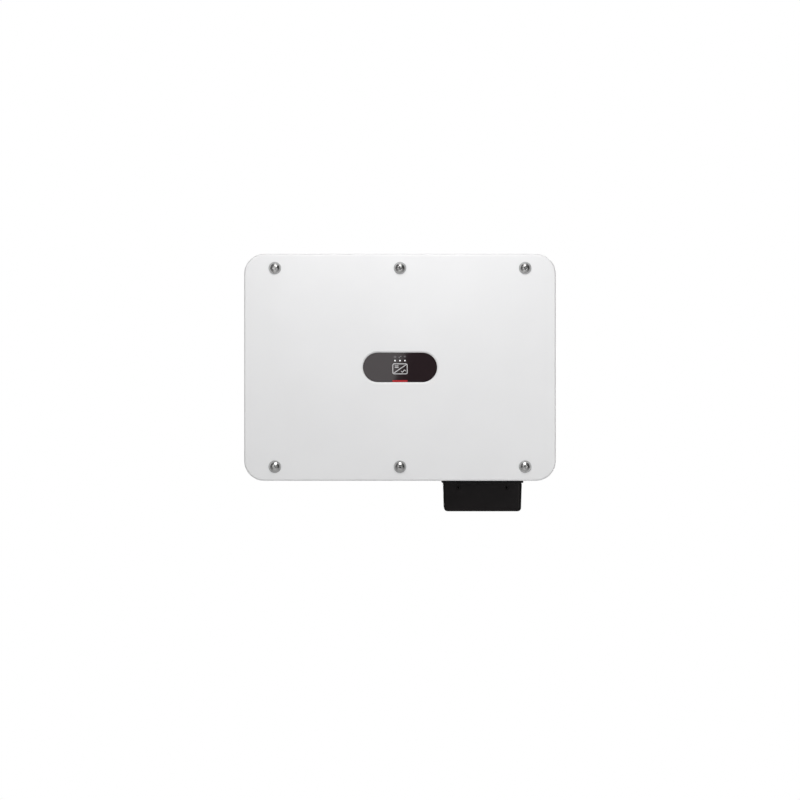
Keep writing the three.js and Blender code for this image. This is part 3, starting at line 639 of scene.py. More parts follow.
HEAD = FACE_Y - CAD_BOX[0][1]  # how far the screw heads stand proud


def cover_screw(node):
    """A coned head with a hexagon socket, on a broad washer."""
    low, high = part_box(node)
    solid = Solid("front")
    shank = high.y - FACE_Y
    profile = fillet(
        [
            (1.6 * MM, shank),
            (3 * MM, shank - 2 * MM),
            (3 * MM, -1.7 * MM),
            (9.5 * MM, -1.7 * MM),
            (9.5 * MM, -2.4 * MM),
            (4.2 * MM, -HEAD),
            (2.9 * MM, -HEAD),
        ],
        [0, 0, 0.2 * MM, 0.1 * MM, 0.5 * MM, 2 * MM, 0],
        3,
    )
    first, last = solid.loft(lambda radius: circle(radius, 64), profile, None)
    solid.cap(first)
    socket = [(0, -HEAD), (-0.25 * MM, 0.25 * MM - HEAD), (-0.25 * MM, 2.2 * MM - HEAD)]
    mouth, floor = solid.loft(lambda g: hexagon(2.5 * MM + g), socket, None)
    solid.cap(last, mouth)
    solid.cap(floor)
    at = ((low.x + high.x) / 2, FACE_Y, (low.z + high.z) / 2)
    number = node[-1]
    screw = piece(f"cover_screw_head_{number}", solid, TURNED, "front_cover", [node], 0, at)
    washer = Solid("front")
    rim = fillet(
        [
            (3.2 * MM, -GAP),
            (12.7 * MM, -GAP),
            (12.7 * MM, -1.3 * MM),
            (11.6 * MM, -1.65 * MM),
            (3.2 * MM, -1.65 * MM),
        ],
        [0, 0.2 * MM, 0.3 * MM, 0.4 * MM, 0],
        3,
    )
    washer.loft(lambda radius: circle(radius, 64), rim, "loop")
    piece(f"cover_washer_{number}", washer, WASHER, "front_cover", (), 0, at)
    return screw


def indicator():
    """The glossy window with its lamps, their symbols, a generic inverter symbol and a red bar."""
    lens = Solid("front")
    front = window_low.y
    edge = 0.25 * MM
    lens.prism(window_outline, front, window_high.y, edge, 3)
    piece("indicator_lens", lens, GLASS, "front_cover", ["indicator_window"], edge=0)
    proud = 0.04 * MM
    lamps = [middle(f"light_pipe_{i}") for i in range(1, 4)]

    def mark(name, material, build):
        solid = Solid("front")
        build(solid)
        piece(name, solid, material, "front_cover", (), edge=0)

    def slab(solid, outline):
        solid.prism(lambda grow: outline, front - proud, front + proud)

    def lamp_discs(solid):
        for lamp in lamps:
            slab(solid, circle(1.5 * MM, 28, (lamp.x, lamp.z)))

    def lamp_symbols(solid):
        rise = 7.6 * MM
        bar = 0.5 * MM
        sun, wave, link = ((lamp.x, lamp.z + rise) for lamp in lamps)
        for k in range(3):
            slab(solid, rounded_rect(5 * MM, bar, bar / 2.1, 3, (sun[0], sun[1] + (k - 1) * 1.6 * MM)))
        sine = [(wave[0] + 2.8 * MM * t, wave[1] + 1.7 * MM * math.sin(math.pi * t)) for t in steps(-1, 1, 20)]
        slab(solid, ribbon(sine, bar))
        for k in range(3):
            slab(solid, ribbon(arc(link[0], link[1] - 1.8 * MM, (1 + 1.3 * k) * MM, 0.13, 0.37, 10), bar))

    def symbol_frame(solid):
        width = 31 * MM
        side = 22 * MM
        centre = (0, CENTRE_Z - 3 * MM)
        band = 1.5 * MM
        outline = lambda grow: rounded_rect(width + 2 * grow, side + 2 * grow, 3.4 * MM + grow, 8, centre)
        ring = [(0, front - proud), (-band, front - proud), (-band, front + proud), (0, front + proud)]
        solid.loft(outline, ring, "loop")
        half = side / 2 - band
        reach = width / 2 - band
        slab(solid, ribbon([(-reach, centre[1] - half), (reach, centre[1] + half)], band))
        for k in range(2):
            slab(solid, rounded_rect(8 * MM, band, band / 2.1, 3, (-7 * MM, centre[1] + (6 - 3.2 * k) * MM)))
        sine = [(7 * MM + 4.4 * MM * t, centre[1] - 4.6 * MM + 2.1 * MM * math.sin(math.pi * t))
                for t in steps(-1, 1, 24)]
        slab(solid, ribbon(sine, band))

    def red_bar(solid):
        slab(solid, rounded_rect(31 * MM, 3.6 * MM, 0.5 * MM, 3, (0, CENTRE_Z - 28 * MM)))

    mark("indicator_lamps", LAMP, lamp_discs)
    mark("indicator_lamp_symbols", DIM_INK, lamp_symbols)
    mark("indicator_symbol", PALE_INK, symbol_frame)
    mark("indicator_bar", RED_INK, red_bar)


def steps(low, high, count):
    return [low + (high - low) * i / count for i in range(count + 1)]


def ribbon(points, width):
    """The outline of a line of even width."""
    left = []
    right = []
    for i, here in enumerate(points):
        back = Vector(points[max(i - 1, 0)])
        ahead = Vector(points[min(i + 1, len(points) - 1)])
        along = (ahead - back).normalized()
        side = Vector((-along.y, along.x)) * width / 2
        left.append(tuple(Vector(here) + side))
        right.append(tuple(Vector(here) - side))
    return left + right[::-1]


def lamp_board():
    """The board behind the window, with scattered small parts, a plug and a light guide for each light pipe."""
    low, high = board_low, board_high
    solid = Solid("front")
    outline = lambda grow: pill(150 * MM + 2 * grow, 58 * MM + 2 * grow, 16, (0, CENTRE_Z))
    solid.prism(outline, low.y, low.y + 1.6 * MM, 0.1 * MM)
    piece("lamp_board", solid, BOARD, "front_cover", ["indicator_board"], edge=0)
    parts = Solid()
    back = low.y + 1.6 * MM
    parts.block((-12 * MM, back, CENTRE_Z - 20 * MM), (12 * MM, back + 6 * MM, CENTRE_Z - 12 * MM))
    rng = random.Random(4)
    for k in range(18):
        x = (rng.random() - 0.5) * 110 * MM
        z = CENTRE_Z + (rng.random() * 26 - 6) * MM
        size = rng.choice((1.2, 2, 3)) * MM
        parts.block((x, back, z), (x + size, back + size * 0.5, z + size * 0.6))
    piece("lamp_board_parts", parts, PALE, "front_cover", (), 0.1 * MM)
    for i in range(1, 4):
        name = f"light_pipe_{i}"
        node_low, node_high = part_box(name)
        centre = middle(name)
        pipe = Solid("front")
        pipe.lathe(
            fillet(
                [
                    (1.6 * MM, node_low.y),
                    (1.9 * MM, node_low.y + 0.3 * MM),
                    (1.9 * MM, node_high.y - 0.3 * MM),
                    (1.6 * MM, node_high.y),
                ],
                0.2 * MM,
            ),
            24,
            (centre.x, centre.z),
        )
        piece(f"light_guide_{i}", pipe, CLEAR, "front_cover", [name], 0)


# ------------------------------------------------------------------ housing and heat sink

def underside_holes():
    """Each hole in the housing's underside: (x, y, radius)."""
    holes = [(middle(n).x, middle(n).y, 6.9 * MM) for n in PLUS + MINUS]
    holes += [(middle(n).x, middle(n).y, 9.4 * MM) for n in ("com_port", "dongle_port")]
    holes.append((middle("vent_valve").x, middle("vent_valve").y, 5.4 * MM))
    holes.append((middle("dc_switch_shaft").x, middle("dc_switch_shaft").y, 6.1 * MM))
    return holes


def housing():
    solid = Solid("front")
    cup = fillet(
        [(-4 * MM, BACK_Y), (0, BACK_Y), (0, RIM_Y), (-BODY_WALL, RIM_Y), (-BODY_WALL, BACK_Y - BODY_WALL),
         (-BODY_WALL - 2.4 * MM, BACK_Y - BODY_WALL)],
        [0, 1.5 * MM, 0.4 * MM, 0.4 * MM, 2.5 * MM, 0],
        4,
    )
    solid.loft(wall_outline, cup)
    shell = mesh_object("housing_shell", solid, GREY_PAINT)

    flange = Solid("front")
    rim = fillet(
        [(-30 * MM, FLANGE_Y), (0, FLANGE_Y), (0, SEAM_Y + GAP), (-30 * MM, SEAM_Y + GAP)],
        [0, 1.4 * MM, 0.8 * MM, 0],
        4,
    )
    rear, front = flange.loft(cover_outline, rim[1:-1], None)
    inner_rear, inner_front = flange.loft(
        wall_outline, [(-1.5 * MM, FLANGE_Y), (-1.5 * MM, SEAM_Y + GAP)], None
    )
    flange.cap(rear, inner_rear)
    flange.cap(front, inner_front)
    bmesh.ops.remove_doubles(flange.bm, verts=flange.bm.verts, dist=1e-6)
    carve(shell, "UNION", flange)
    bosses = Solid("front")
    for place in screw_places:
        profile = [(9 * MM, FLANGE_Y - 4 * MM), (9 * MM, INSIDE_Y + 1 * MM), (8.3 * MM, INSIDE_Y + GAP)]
        bosses.lathe(profile, 32, place)
    carve(shell, "UNION", bosses)

    drills = Solid()
    for x, y, radius in underside_holes():
        drills.lathe([(radius, UNDERSIDE_Z - 2 * MM), (radius, UNDERSIDE_Z + 7 * MM)], 32, (x, y))
    box_middle = middle("ac_box_base")
    wires = lambda grow: rounded_rect(120 * MM, 50 * MM, 6 * MM, 6, (box_middle.x, box_middle.y))
    drills.prism(wires, UNDERSIDE_Z - 2 * MM, UNDERSIDE_Z + 7 * MM)
    carve(shell, "DIFFERENCE", drills)
    taps = Solid("front")
    for place in screw_places:
        taps.lathe([(SCREW_HOLE, SEAM_Y + 3.5 * MM), (SCREW_HOLE, INSIDE_Y)], 24, place)
    width, height, corner = ISLAND
    hatch = lambda grow: rounded_rect(width + 1 * MM, height + 1 * MM, corner, 6, (0, CENTRE_Z))
    taps.prism(hatch, BACK_Y - BODY_WALL - 2 * MM, BACK_Y + 2 * MM)
    carve(shell, "DIFFERENCE", taps)
    finish_piece(shell, "enclosure", ["housing"], edge=0.35 * MM)


def gasket():
    solid = Solid("front")
    low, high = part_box("cover_gasket")
    profile = fillet(
        [(-0.6 * MM, high.y), (-0.6 * MM, low.y), (-4.2 * MM, low.y), (-4.2 * MM, high.y)],
        [0, 1.6 * MM, 1.6 * MM, 0],
        4,
    )
    solid.loft(wall_outline, profile, "loop")
    piece("cover_seal", solid, RUBBER, "enclosure", ["cover_gasket"], edge=0)


FIN_COUNT = 41
FIN_PITCH = 13.6 * MM
SINK_BASE_Y = -108 * MM


def heat_sink():
    half = sink_high.x
    root = 1.6 * MM
    tip = 1.0 * MM
    shape = [(-half, BACK_Y + GAP), (half, BACK_Y + GAP), (half, SINK_BASE_Y)]
    for i in reversed(range(FIN_COUNT)):
        x = (i - (FIN_COUNT - 1) / 2) * FIN_PITCH
        fin = [
            (x + root + 3 * MM, SINK_BASE_Y),
            (x + root, SINK_BASE_Y),
            (x + tip, sink_high.y),
            (x - tip, sink_high.y),
            (x - root, SINK_BASE_Y),
            (x - root - 3 * MM, SINK_BASE_Y),
        ]
        inner = i < FIN_COUNT - 1
        outer = i > 0
        rounded = fillet(fin, [0, 2.2 * MM, 0.8 * MM, 0.8 * MM, 2.2 * MM, 0], 3)
        shape += rounded if inner and outer else fin[1:-1]
    shape.append((-half, SINK_BASE_Y))
    solid = Solid("plan")
    solid.prism(lambda grow: shape, sink_low.z, sink_high.z)
    sink = mesh_object("heat_sink_fins", solid, CAST)
    corners = Solid("side")
    reach = 24 * MM
    for z, way in ((sink_high.z, 1), (sink_low.z, -1)):
        triangle = [
            (sink_high.y - reach, z + way * 0.1 * MM),
            (sink_high.y + 1 * MM, z + way * 0.1 * MM),
            (sink_high.y + 1 * MM, z - way * reach),
        ]
        corners.prism(lambda grow: triangle, -half - 5 * MM, half + 5 * MM)
    carve(sink, "DIFFERENCE", corners)
    finish_piece(sink, "enclosure", ["heat_sink"], edge=0.25 * MM)
    island = Solid("front")
    width, height, corner = ISLAND
    outline = lambda grow: rounded_rect(width + 2 * grow, height + 2 * grow, corner + grow, 6, (0, CENTRE_Z))
    island.prism(outline, ISLAND_Y, BACK_Y + 0.2 * MM, 0.4 * MM)
    piece("heat_sink_island", island, CAST, "enclosure", (), 0)


# ------------------------------------------------------------------ wall bracket and hangers

SHEET = 3 * MM
LOCK_Y, LOCK_Z = -14 * MM, -35 * MM
HOOK_Z = 42 * MM


def wall_bracket():
    low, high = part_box("wall_bracket")
    half = high.x
    depth = low.y
    section = fillet(
        [
            (-half, depth),
            (-half, 0),
            (half, 0),
            (half, depth),
            (half - SHEET, depth),
            (half - SHEET, -SHEET),
            (SHEET - half, -SHEET),
            (SHEET - half, depth),
        ],
        [0, 4 * MM, 4 * MM, 0, 0, 1.5 * MM, 1.5 * MM, 0],
        5,
    )
    solid = Solid("plan")
    solid.prism(lambda grow: section, low.z, high.z)
    bracket = mesh_object("bracket_plate", solid, ZINC)
    cuts = Solid()
    notch = fillet(
        [(depth + 1.5 * MM, high.z + 1 * MM), (depth + 1.5 * MM, HOOK_Z - 0.5 * MM),
         (-7.5 * MM, HOOK_Z - 0.5 * MM), (-7.5 * MM, high.z + 1 * MM)],
        2 * MM,
    )
    cuts.place = PLANES["side"]
    cuts.prism(lambda grow: notch, -half - 1 * MM, half + 1 * MM)
    cuts.lathe([(3.4 * MM, -half - 1 * MM), (3.4 * MM, half + 1 * MM)], 24, (LOCK_Y, LOCK_Z))
    cuts.place = PLANES["front"]
    slots = [((x, z), 13 * MM) for x in (-0.18, 0.18) for z in (-0.048, 0.048)] + [((0, 0.048), 34 * MM)]
    for place, length in slots:
        outline = lambda grow: rounded_rect(length, 13 * MM, 6.45 * MM, 10, place)
        cuts.prism(outline, -SHEET - 1 * MM, 1 * MM)
    carve(bracket, "DIFFERENCE", cuts)
    finish_piece(bracket, "enclosure", ["wall_bracket"], edge=0.3 * MM)


def hanger(side_name, side):
    node = f"hanger_{side_name}"
    low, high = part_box(node)
    inner = 281 * MM
    foot_y = low.y
    spans = lambda a, b: (side * a, side * b) if side > 0 else (side * b, side * a)
    web = fillet(
        [
            (foot_y, low.z),
            (foot_y + 40 * MM, low.z),
            (high.y, low.z + 40 * MM),
            (high.y, high.z - 14 * MM),
            (high.y - 26 * MM, high.z),
            (foot_y, high.z),
        ],
        [0, 8 * MM, 8 * MM, 6 * MM, 6 * MM, 0],
        5,
    )
    solid = Solid("side")
    solid.prism(lambda grow: web, *spans(inner, inner + SHEET))
    arm = mesh_object(f"{node}_arm", solid, ZINC)
    extra = Solid()
    foot = spans(inner, inner + 23 * MM)
    extra.block((foot[0], foot_y, low.z), (foot[1], foot_y + SHEET, high.z))
    hook = spans(inner - 12 * MM, inner + 1 * MM)
    extra.block((hook[0], -21.5 * MM, HOOK_Z), (hook[1], -9 * MM, HOOK_Z + 12 * MM))
    carve(arm, "UNION", extra)
    hole = Solid("side")
    reach = spans(inner - 1 * MM, inner + SHEET + 1 * MM)
    hole.lathe([(3.7 * MM, reach[0]), (3.7 * MM, reach[1])], 24, (LOCK_Y, LOCK_Z))
    carve(arm, "DIFFERENCE", hole)
    finish_piece(arm, "enclosure", [node], edge=0.6 * MM)
    heads = Solid("front")
    for z in (low.z + 20 * MM, middle(node).z, high.z - 20 * MM):
        dome = fillet(
            [(4.6 * MM, foot_y + SHEET), (4.6 * MM, foot_y + SHEET + 1.4 * MM), (1.6 * MM, foot_y + SHEET + 2.8 * MM)],
            1.2 * MM,
        )
        heads.lathe(dome, 28, (side * (inner + 14 * MM), z))
    piece(f"{node}_screws", heads, STEEL, "enclosure", (), 0)


def hex_bolt(name, node, way):
    """A hexagon bolt with a washer, whose head points along X. way is 1 or -1."""
    low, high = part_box(node)
    centre = middle(node)
    under, top = (low.x, high.x) if way > 0 else (high.x, low.x)
    seat = top - way * 5.2 * MM
    solid = Solid("side")
    place = (centre.y, centre.z)
    solid.lathe([(3 * MM, under), (3 * MM, seat)], 24, place)
    solid.tube(7 * MM, 3.1 * MM, min(seat, seat + way * 1.2 * MM), max(seat, seat + way * 1.2 * MM), 32, place)
    rim = seat + way * 1.2 * MM
    profile = [(0, rim), (0, top - way * 0.5 * MM), (-0.6 * MM, top)]
    solid.loft(lambda grow: hexagon(5.75 * MM + grow, place), profile)
    piece(name, solid, STEEL, "enclosure", [node], 0.15 * MM)


# ------------------------------------------------------------------ pieces under the housing

KNOB_TURN = middle("dc_switch_shaft")


def isolator():
    """The rotary isolator: plate, knob with a pointer, shaft and the switch behind the wall."""
    x, y, _ = KNOB_TURN
    low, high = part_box("dc_switch_plate")
    half = (high.x - low.x) / 2
    solid = Solid("plan")
    outline = lambda grow: rounded_rect(2 * (half + grow), 2 * (half + grow), 8 * MM + grow, 10, (x, y))
    hole = lambda grow: circle(6.1 * MM + grow, 32, (x, y))
    rim = fillet([(-1 * MM, high.z), (0, high.z), (0, low.z), (-4 * MM, low.z)], [0, 0.3 * MM, 1.1 * MM, 0])
    top, bottom = solid.loft(outline, rim, None)
    bore = solid.loft(hole, [(0, high.z), (0, low.z)], None)
    solid.cap(top, bore[0])
    solid.cap(bottom, bore[1])
    piece("isolator_plate", solid, GEAR_BLACK, "enclosure", ["dc_switch_plate"], edge=0)

    marks = Solid("plan")
    ink = [low.z - 0.05 * MM, low.z + 0.05 * MM]
    marks.prism(lambda grow: rounded_rect(1.3 * MM, 4.6 * MM, 0.6 * MM, 4, (x + 23.8 * MM, y + 23.4 * MM)), *ink)
    ring = [(0, ink[0]), (-0.9 * MM, ink[0]), (-0.9 * MM, ink[1]), (0, ink[1])]
    marks.loft(lambda grow: circle(2.3 * MM + grow, 24, (x - 23.8 * MM, y + 23.4 * MM)), ring, "loop")
    sweep = ribbon(arc(x, y, 25 * MM, 0.03, 0.22, 20), 0.7 * MM)
    marks.prism(lambda grow: sweep, *ink)
    piece("isolator_marks", marks, WHITE_INK, "enclosure", (), edge=0)

    screws = Solid("plan")
    for a in (-1, 1):
        spot = (x + a * 22.6 * MM, y - 22.6 * MM)
        screws.lathe(fillet([(2.6 * MM, low.z + 0.3 * MM), (2.6 * MM, low.z - 0.5 * MM),
                             (1 * MM, low.z - 1.2 * MM)], 0.6 * MM), 24, spot)
    piece("isolator_screws", screws, STEEL, "enclosure", (), 0)

    low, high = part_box("dc_switch_knob")
    knob = Solid("plan")
    skirt = fillet(
        [(4.3 * MM, high.z), (23 * MM, high.z), (23 * MM, high.z - 6 * MM), (20 * MM, high.z - 9.5 * MM),
         (4.3 * MM, high.z - 9.5 * MM)],
        [0, 0.6 * MM, 1.5 * MM, 2 * MM, 0],
    )
    knob.loft(lambda radius: circle(radius, 64, (x, y)), skirt, "loop")
    made = mesh_object("isolator_knob", knob, GEAR_BLACK)
    grip = Solid("plan")
    outline = lambda grow: rounded_rect(42 * MM + 2 * grow, 13 * MM + 2 * grow, 6 * MM + grow, 10, (x, y))
    taper = fillet(
        [(-0.2 * MM, high.z - 8 * MM), (-0.2 * MM, high.z - 9 * MM), (-1.6 * MM, low.z + 2 * MM),
         (-4.6 * MM, low.z)],
        [0, 0, 1.8 * MM, 0],
    )
    grip.loft(outline, taper)
    carve(made, "UNION", grip)
    scoops = Solid("plan")
    for side in (-1, 1):
        for k in range(5):
            spot = (x + (k - 2) * 6.4 * MM, y + side * 7.4 * MM)
            scoops.lathe([(1.5 * MM, low.z - 1 * MM), (1.5 * MM, high.z - 12 * MM)], 16, spot)
    carve(made, "DIFFERENCE", scoops)
    finish_piece(made, "dc_switch_knob", ["dc_switch_knob"], edge=0.35 * MM)

    pointer = Solid("plan")
    arrow = [(x - 15 * MM, y + 1.1 * MM), (x - 15 * MM, y - 1.1 * MM), (x - 4 * MM, y - 0.7 * MM),
             (x - 4 * MM, y + 0.7 * MM)]
    pointer.prism(lambda grow: arrow, low.z - 0.05 * MM, low.z + 0.4 * MM)
    piece("isolator_pointer", pointer, WHITE_INK, "dc_switch_knob", (), edge=0)

    low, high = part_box("dc_switch_shaft")
    shaft = Solid("plan")
    shaft.lathe(fillet([(3.4 * MM, low.z), (4 * MM, low.z + 0.6 * MM), (4 * MM, high.z - 0.6 * MM),
                        (3.4 * MM, high.z)], 0.2 * MM), 32, (x, y))
    piece("isolator_shaft", shaft, STEEL, "dc_switch_knob", ["dc_switch_shaft"], 0)

    low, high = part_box("dc_switch_body")
    case = Solid()
    case.block((x - 23 * MM, y - 27 * MM, low.z), (x + 23 * MM, y + 27 * MM, high.z))
    for z in (20, 38, 56):
        height = UNDERSIDE_Z + z * MM
        case.block((x - 31 * MM, y - 24 * MM, height), (x + 31 * MM, y + 24 * MM, height + 12 * MM))
    block = mesh_object("isolator_body", case, GREY)
    ways = Solid("plan")
    ways.lathe([(4.7 * MM, low.z - 1 * MM), (4.7 * MM, UNDERSIDE_Z + 34 * MM)], 24, (x, y))
    carve(block, "DIFFERENCE", ways)
    finish_piece(block, "enclosure", ["dc_switch_body"], edge=0.6 * MM)
    poles = Solid("front")
    for z in (26, 44, 62):
        for a in (-1, 1):
            spot = (x + a * 27 * MM, UNDERSIDE_Z + z * MM)
            poles.lathe([(2.6 * MM, y - 24 * MM), (2.6 * MM, y - 25.2 * MM), (2 * MM, y - 25.6 * MM)], 20, spot)
    piece("isolator_poles", poles, STEEL, "enclosure", (), 0)


def connector(node, nose):
    """A panel connector: hexagon nut, grooved barrel, and the blind plug that closes it."""
    low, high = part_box(node)
    solid = Solid("plan")
    top = high.z
    face = UNDERSIDE_Z - GAP
    barrel_end = UNDERSIDE_Z + (-15 if nose else -28) * MM
    profile = [(5.9 * MM, top), (6.5 * MM, top - 0.6 * MM), (6.5 * MM, face), (8.9 * MM, face)]
    for k in range(3):
        z = face - (7 + 2.4 * k) * MM
        profile += [(8.9 * MM, z), (8.3 * MM, z - 0.4 * MM), (8.3 * MM, z - 1 * MM), (8.9 * MM, z - 1.4 * MM)]
    profile += [(8.9 * MM, barrel_end + 0.8 * MM), (8.2 * MM, barrel_end), (6 * MM, barrel_end)]
    solid.lathe(profile, 32)
    nut = fillet([(0, face), (0, face - 4 * MM), (-0.9 * MM, face - 4.7 * MM)], 0.3 * MM)
    solid.loft(lambda grow: hexagon(12 * MM + grow), nut)
    at = (middle(node).x, middle(node).y, 0)
    label = node.replace("dc_connector_", "connector_")
    piece(f"{label}_body", solid, GEAR_BLACK, "enclosure", [node], 0.2 * MM, at)
    plug = Solid("plan")
    if nose:
        cap = [(6.6 * MM, barrel_end + 0.5 * MM), (6.9 * MM, barrel_end - 2 * MM), (8.1 * MM, low.z + 12 * MM),
               (8.1 * MM, low.z + 2 * MM), (6.4 * MM, low.z), (2 * MM, low.z)]
    else:
        cap = [(6.9 * MM, barrel_end + 0.5 * MM), (6.9 * MM, low.z + 3 * MM), (6.1 * MM, low.z + 2.6 * MM),
               (6.1 * MM, low.z + 1.8 * MM), (6.9 * MM, low.z + 1.4 * MM), (6.4 * MM, low.z), (2 * MM, low.z)]
    plug.lathe(fillet(cap, 0.5 * MM, 3), 32)
    piece(f"{label}_blind_plug", plug, RUBBER, "enclosure", (), 0, at)
    band = Solid("plan")
    height = face - 5.6 * MM
    band.tube(9 * MM, 8.7 * MM, height - 0.9 * MM, height, 32)
    ink = RED_MARK if "plus" in node else BLUE_FILM
    piece(f"{label}_band", band, ink, "enclosure", (), 0, at)


def port(node, cap_node, radius):
    """A threaded port and the ribbed cap that closes it."""
    x, y, _ = middle(node)
    low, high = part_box(node)
    face = UNDERSIDE_Z - GAP
    end = low.z
    bore = radius - 3.5 * MM
    profile = [(9 * MM, high.z), (9 * MM, face), (radius + 3 * MM, face), (radius + 3 * MM, face - 3.7 * MM)]
    profile.append((radius, face - 3.7 * MM))
    turns_z = face - 5 * MM
    while turns_z > end + 3 * MM:
        profile += [(radius, turns_z), (radius - 0.6 * MM, turns_z - 0.8 * MM), (radius, turns_z - 1.6 * MM)]
        turns_z -= 2 * MM
    profile += [(radius, end), (bore, end), (bore, end + 13 * MM)]
    solid = Solid("plan")
    solid.lathe(profile, 40, (x, y))
    piece(f"{node}_body", solid, GEAR_BLACK, "enclosure", [node], 0.2 * MM)

    low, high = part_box(cap_node)
    outer = radius + 3 * MM
    ribs = 30
    cap = Solid("plan")

    def ribbed(grow):
        points = []
        for i in range(ribs * 4):
            swell = 0.5 * MM * (1 - abs((i % 4) - 1.5) / 1.5)
            a = TAU * i / (ribs * 4)
            points.append((x + (outer + swell + grow) * math.cos(a), y + (outer + swell + grow) * math.sin(a)))
        return points

    def inner(grow):
        return circle(radius + GAP + grow, ribs * 4, (x, y))

    shell = fillet([(-1.2 * MM, high.z), (0, high.z), (0, low.z + 1.6 * MM), (-3 * MM, low.z)],
                   [0, 0.4 * MM, 1.2 * MM, 0])
    top, bottom = cap.loft(ribbed, shell, None)
    mouth, roof = cap.loft(inner, [(0, high.z), (0, low.z + 4.5 * MM)], None)
    cap.bridge(top, mouth)
    cap.cap(bottom)
    cap.cap(roof)
    piece(f"{cap_node}_cup", cap, GEAR_BLACK, cap_node, [cap_node], 0)


def vent():
    x, y, _ = middle("vent_valve")
    low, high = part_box("vent_valve")
    solid = Solid("plan")
    profile = fillet(
        [(5 * MM, high.z), (5 * MM, UNDERSIDE_Z - GAP), (10 * MM, UNDERSIDE_Z - GAP),
         (10 * MM, low.z + 1.8 * MM), (8.4 * MM, low.z), (4 * MM, low.z)],
        [0, 0, 0.3 * MM, 0.8 * MM, 0.8 * MM, 0],
    )
    solid.lathe(profile, 40, (x, y))
    made = mesh_object("vent_valve_cap", solid, GEAR_BLACK)
    for k in range(3):
        slot = Solid()
        slot.block((-12 * MM, -0.8 * MM, low.z - 1 * MM), (12 * MM, 0.8 * MM, low.z + 1.5 * MM))
        turn = Matrix.Translation((x, y, 0)) @ Matrix.Rotation(TAU * k / 6, 4, "Z")
        bmesh.ops.transform(slot.bm, matrix=turn, verts=slot.bm.verts)
        carve(made, "DIFFERENCE", slot)
    finish_piece(made, "enclosure", ["vent_valve"], edge=0.2 * MM)


# ------------------------------------------------------------------ mains wiring box

box_low, box_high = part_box("ac_box_base")
lid_low, lid_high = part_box("ac_box_lid")
BOX_AT = middle("ac_box_lid").xy
BOX_WIDTH = lid_high.x - lid_low.x
BOX_DEPTH = lid_high.y - lid_low.y
BOX_CORNER = 8 * MM
EDGE_Z = cover_low.z  # the level of the cover's lower edge


def box_outline(width, depth, corner, count=10):
    return lambda grow: rounded_rect(width + 2 * grow, depth + 2 * grow, max(corner + grow, 1 * MM), count, BOX_AT)


def wiring_box_base():
    solid = Solid("plan")
    top = box_high.z
    outline = box_outline(BOX_WIDTH, BOX_DEPTH, BOX_CORNER)
    skirt = -4.1 * MM
    profile = fillet(
        [
            (-20 * MM, top),
            (0, top),
            (0, EDGE_Z),
            (3 * MM, EDGE_Z),
            (3 * MM, EDGE_Z - 5 * MM),
            (skirt, EDGE_Z - 5 * MM),
            (skirt, EDGE_Z - 20 * MM),
            (skirt - 3 * MM, EDGE_Z - 20 * MM),
            (skirt - 3 * MM, top - 4 * MM),
            (-20 * MM, top - 4 * MM),
        ],
        [0, 1 * MM, 0.8 * MM, 0.6 * MM, 0.8 * MM, 0.2 * MM, 0.4 * MM, 0.4 * MM, 1 * MM, 0],
    )
    solid.loft(outline, profile, "loop")
    base = mesh_object("wiring_box_base", solid, BLACK)
    slots = Solid()
    for side in (-1, 1):
        x = BOX_AT.x + side * 50 * MM
        front = BOX_AT.y - BOX_DEPTH / 2
        slots.block((x - 2.6 * MM, front, EDGE_Z - 22 * MM), (x + 2.6 * MM, front + 9.1 * MM, EDGE_Z - 12 * MM))
    carve(base, "DIFFERENCE", slots)
    finish_piece(base, "enclosure", ["ac_box_base"], edge=0.2 * MM)
    seal = Solid("plan")
    low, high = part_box("ac_box_seal")
    band = fillet([(-0.9 * MM, low.z), (-0.9 * MM, high.z), (-3.6 * MM, high.z), (-3.6 * MM, low.z)], 0.3 * MM)
    seal.loft(outline, band, "loop")
    piece("wiring_box_seal", seal, RUBBER, "enclosure", ["ac_box_seal"], 0)


def wiring_box_lid():
    """A drafted lid whose lower edges are well rounded."""
    draft = 1.8 * MM
    rounding = 8.5 * MM
    wall = 3.5 * MM
    floor = lid_low.z
    solid = Solid("plan")
    profile = fillet(
        [
            (-24 * MM, floor),
            (-draft, floor),
            (0, lid_high.z),
            (-wall, lid_high.z),
            (-wall - draft, floor + 4 * MM),
            (-24 * MM, floor + 4 * MM),
        ],
        [0, rounding, 0.5 * MM, 0.4 * MM, 5 * MM, 0],
        8,
    )
    outline = box_outline(BOX_WIDTH, BOX_DEPTH, BOX_CORNER, 12)
    bottom, inside = solid.loft(outline, profile, None)
    solid.cap(bottom)
    solid.cap(inside)
    lid = mesh_object("wiring_box_lid", solid, BLACK)
    cuts = Solid("plan")
    entry = [(30 * MM, floor - 1 * MM), (30 * MM, floor + 2 * MM), (25 * MM, floor + 2 * MM), (25 * MM, floor + 6 * MM)]
    cuts.lathe(entry, 48, tuple(BOX_AT))
    cuts.place = PLANES["front"]
    front = BOX_AT.y - BOX_DEPTH / 2
    for side in (-1, 1):
        spot = (BOX_AT.x + side * 50 * MM, EDGE_Z - 15 * MM)
        bore = [(4.4 * MM, front - 1 * MM), (4.4 * MM, front + 2.3 * MM), (2.3 * MM, front + 2.3 * MM),
                (2.3 * MM, front + 8 * MM)]
        cuts.lathe(bore, 32, spot)
    carve(lid, "DIFFERENCE", cuts)
    finish_piece(lid, "ac_box_lid", ["ac_box_lid"], edge=0.3 * MM)


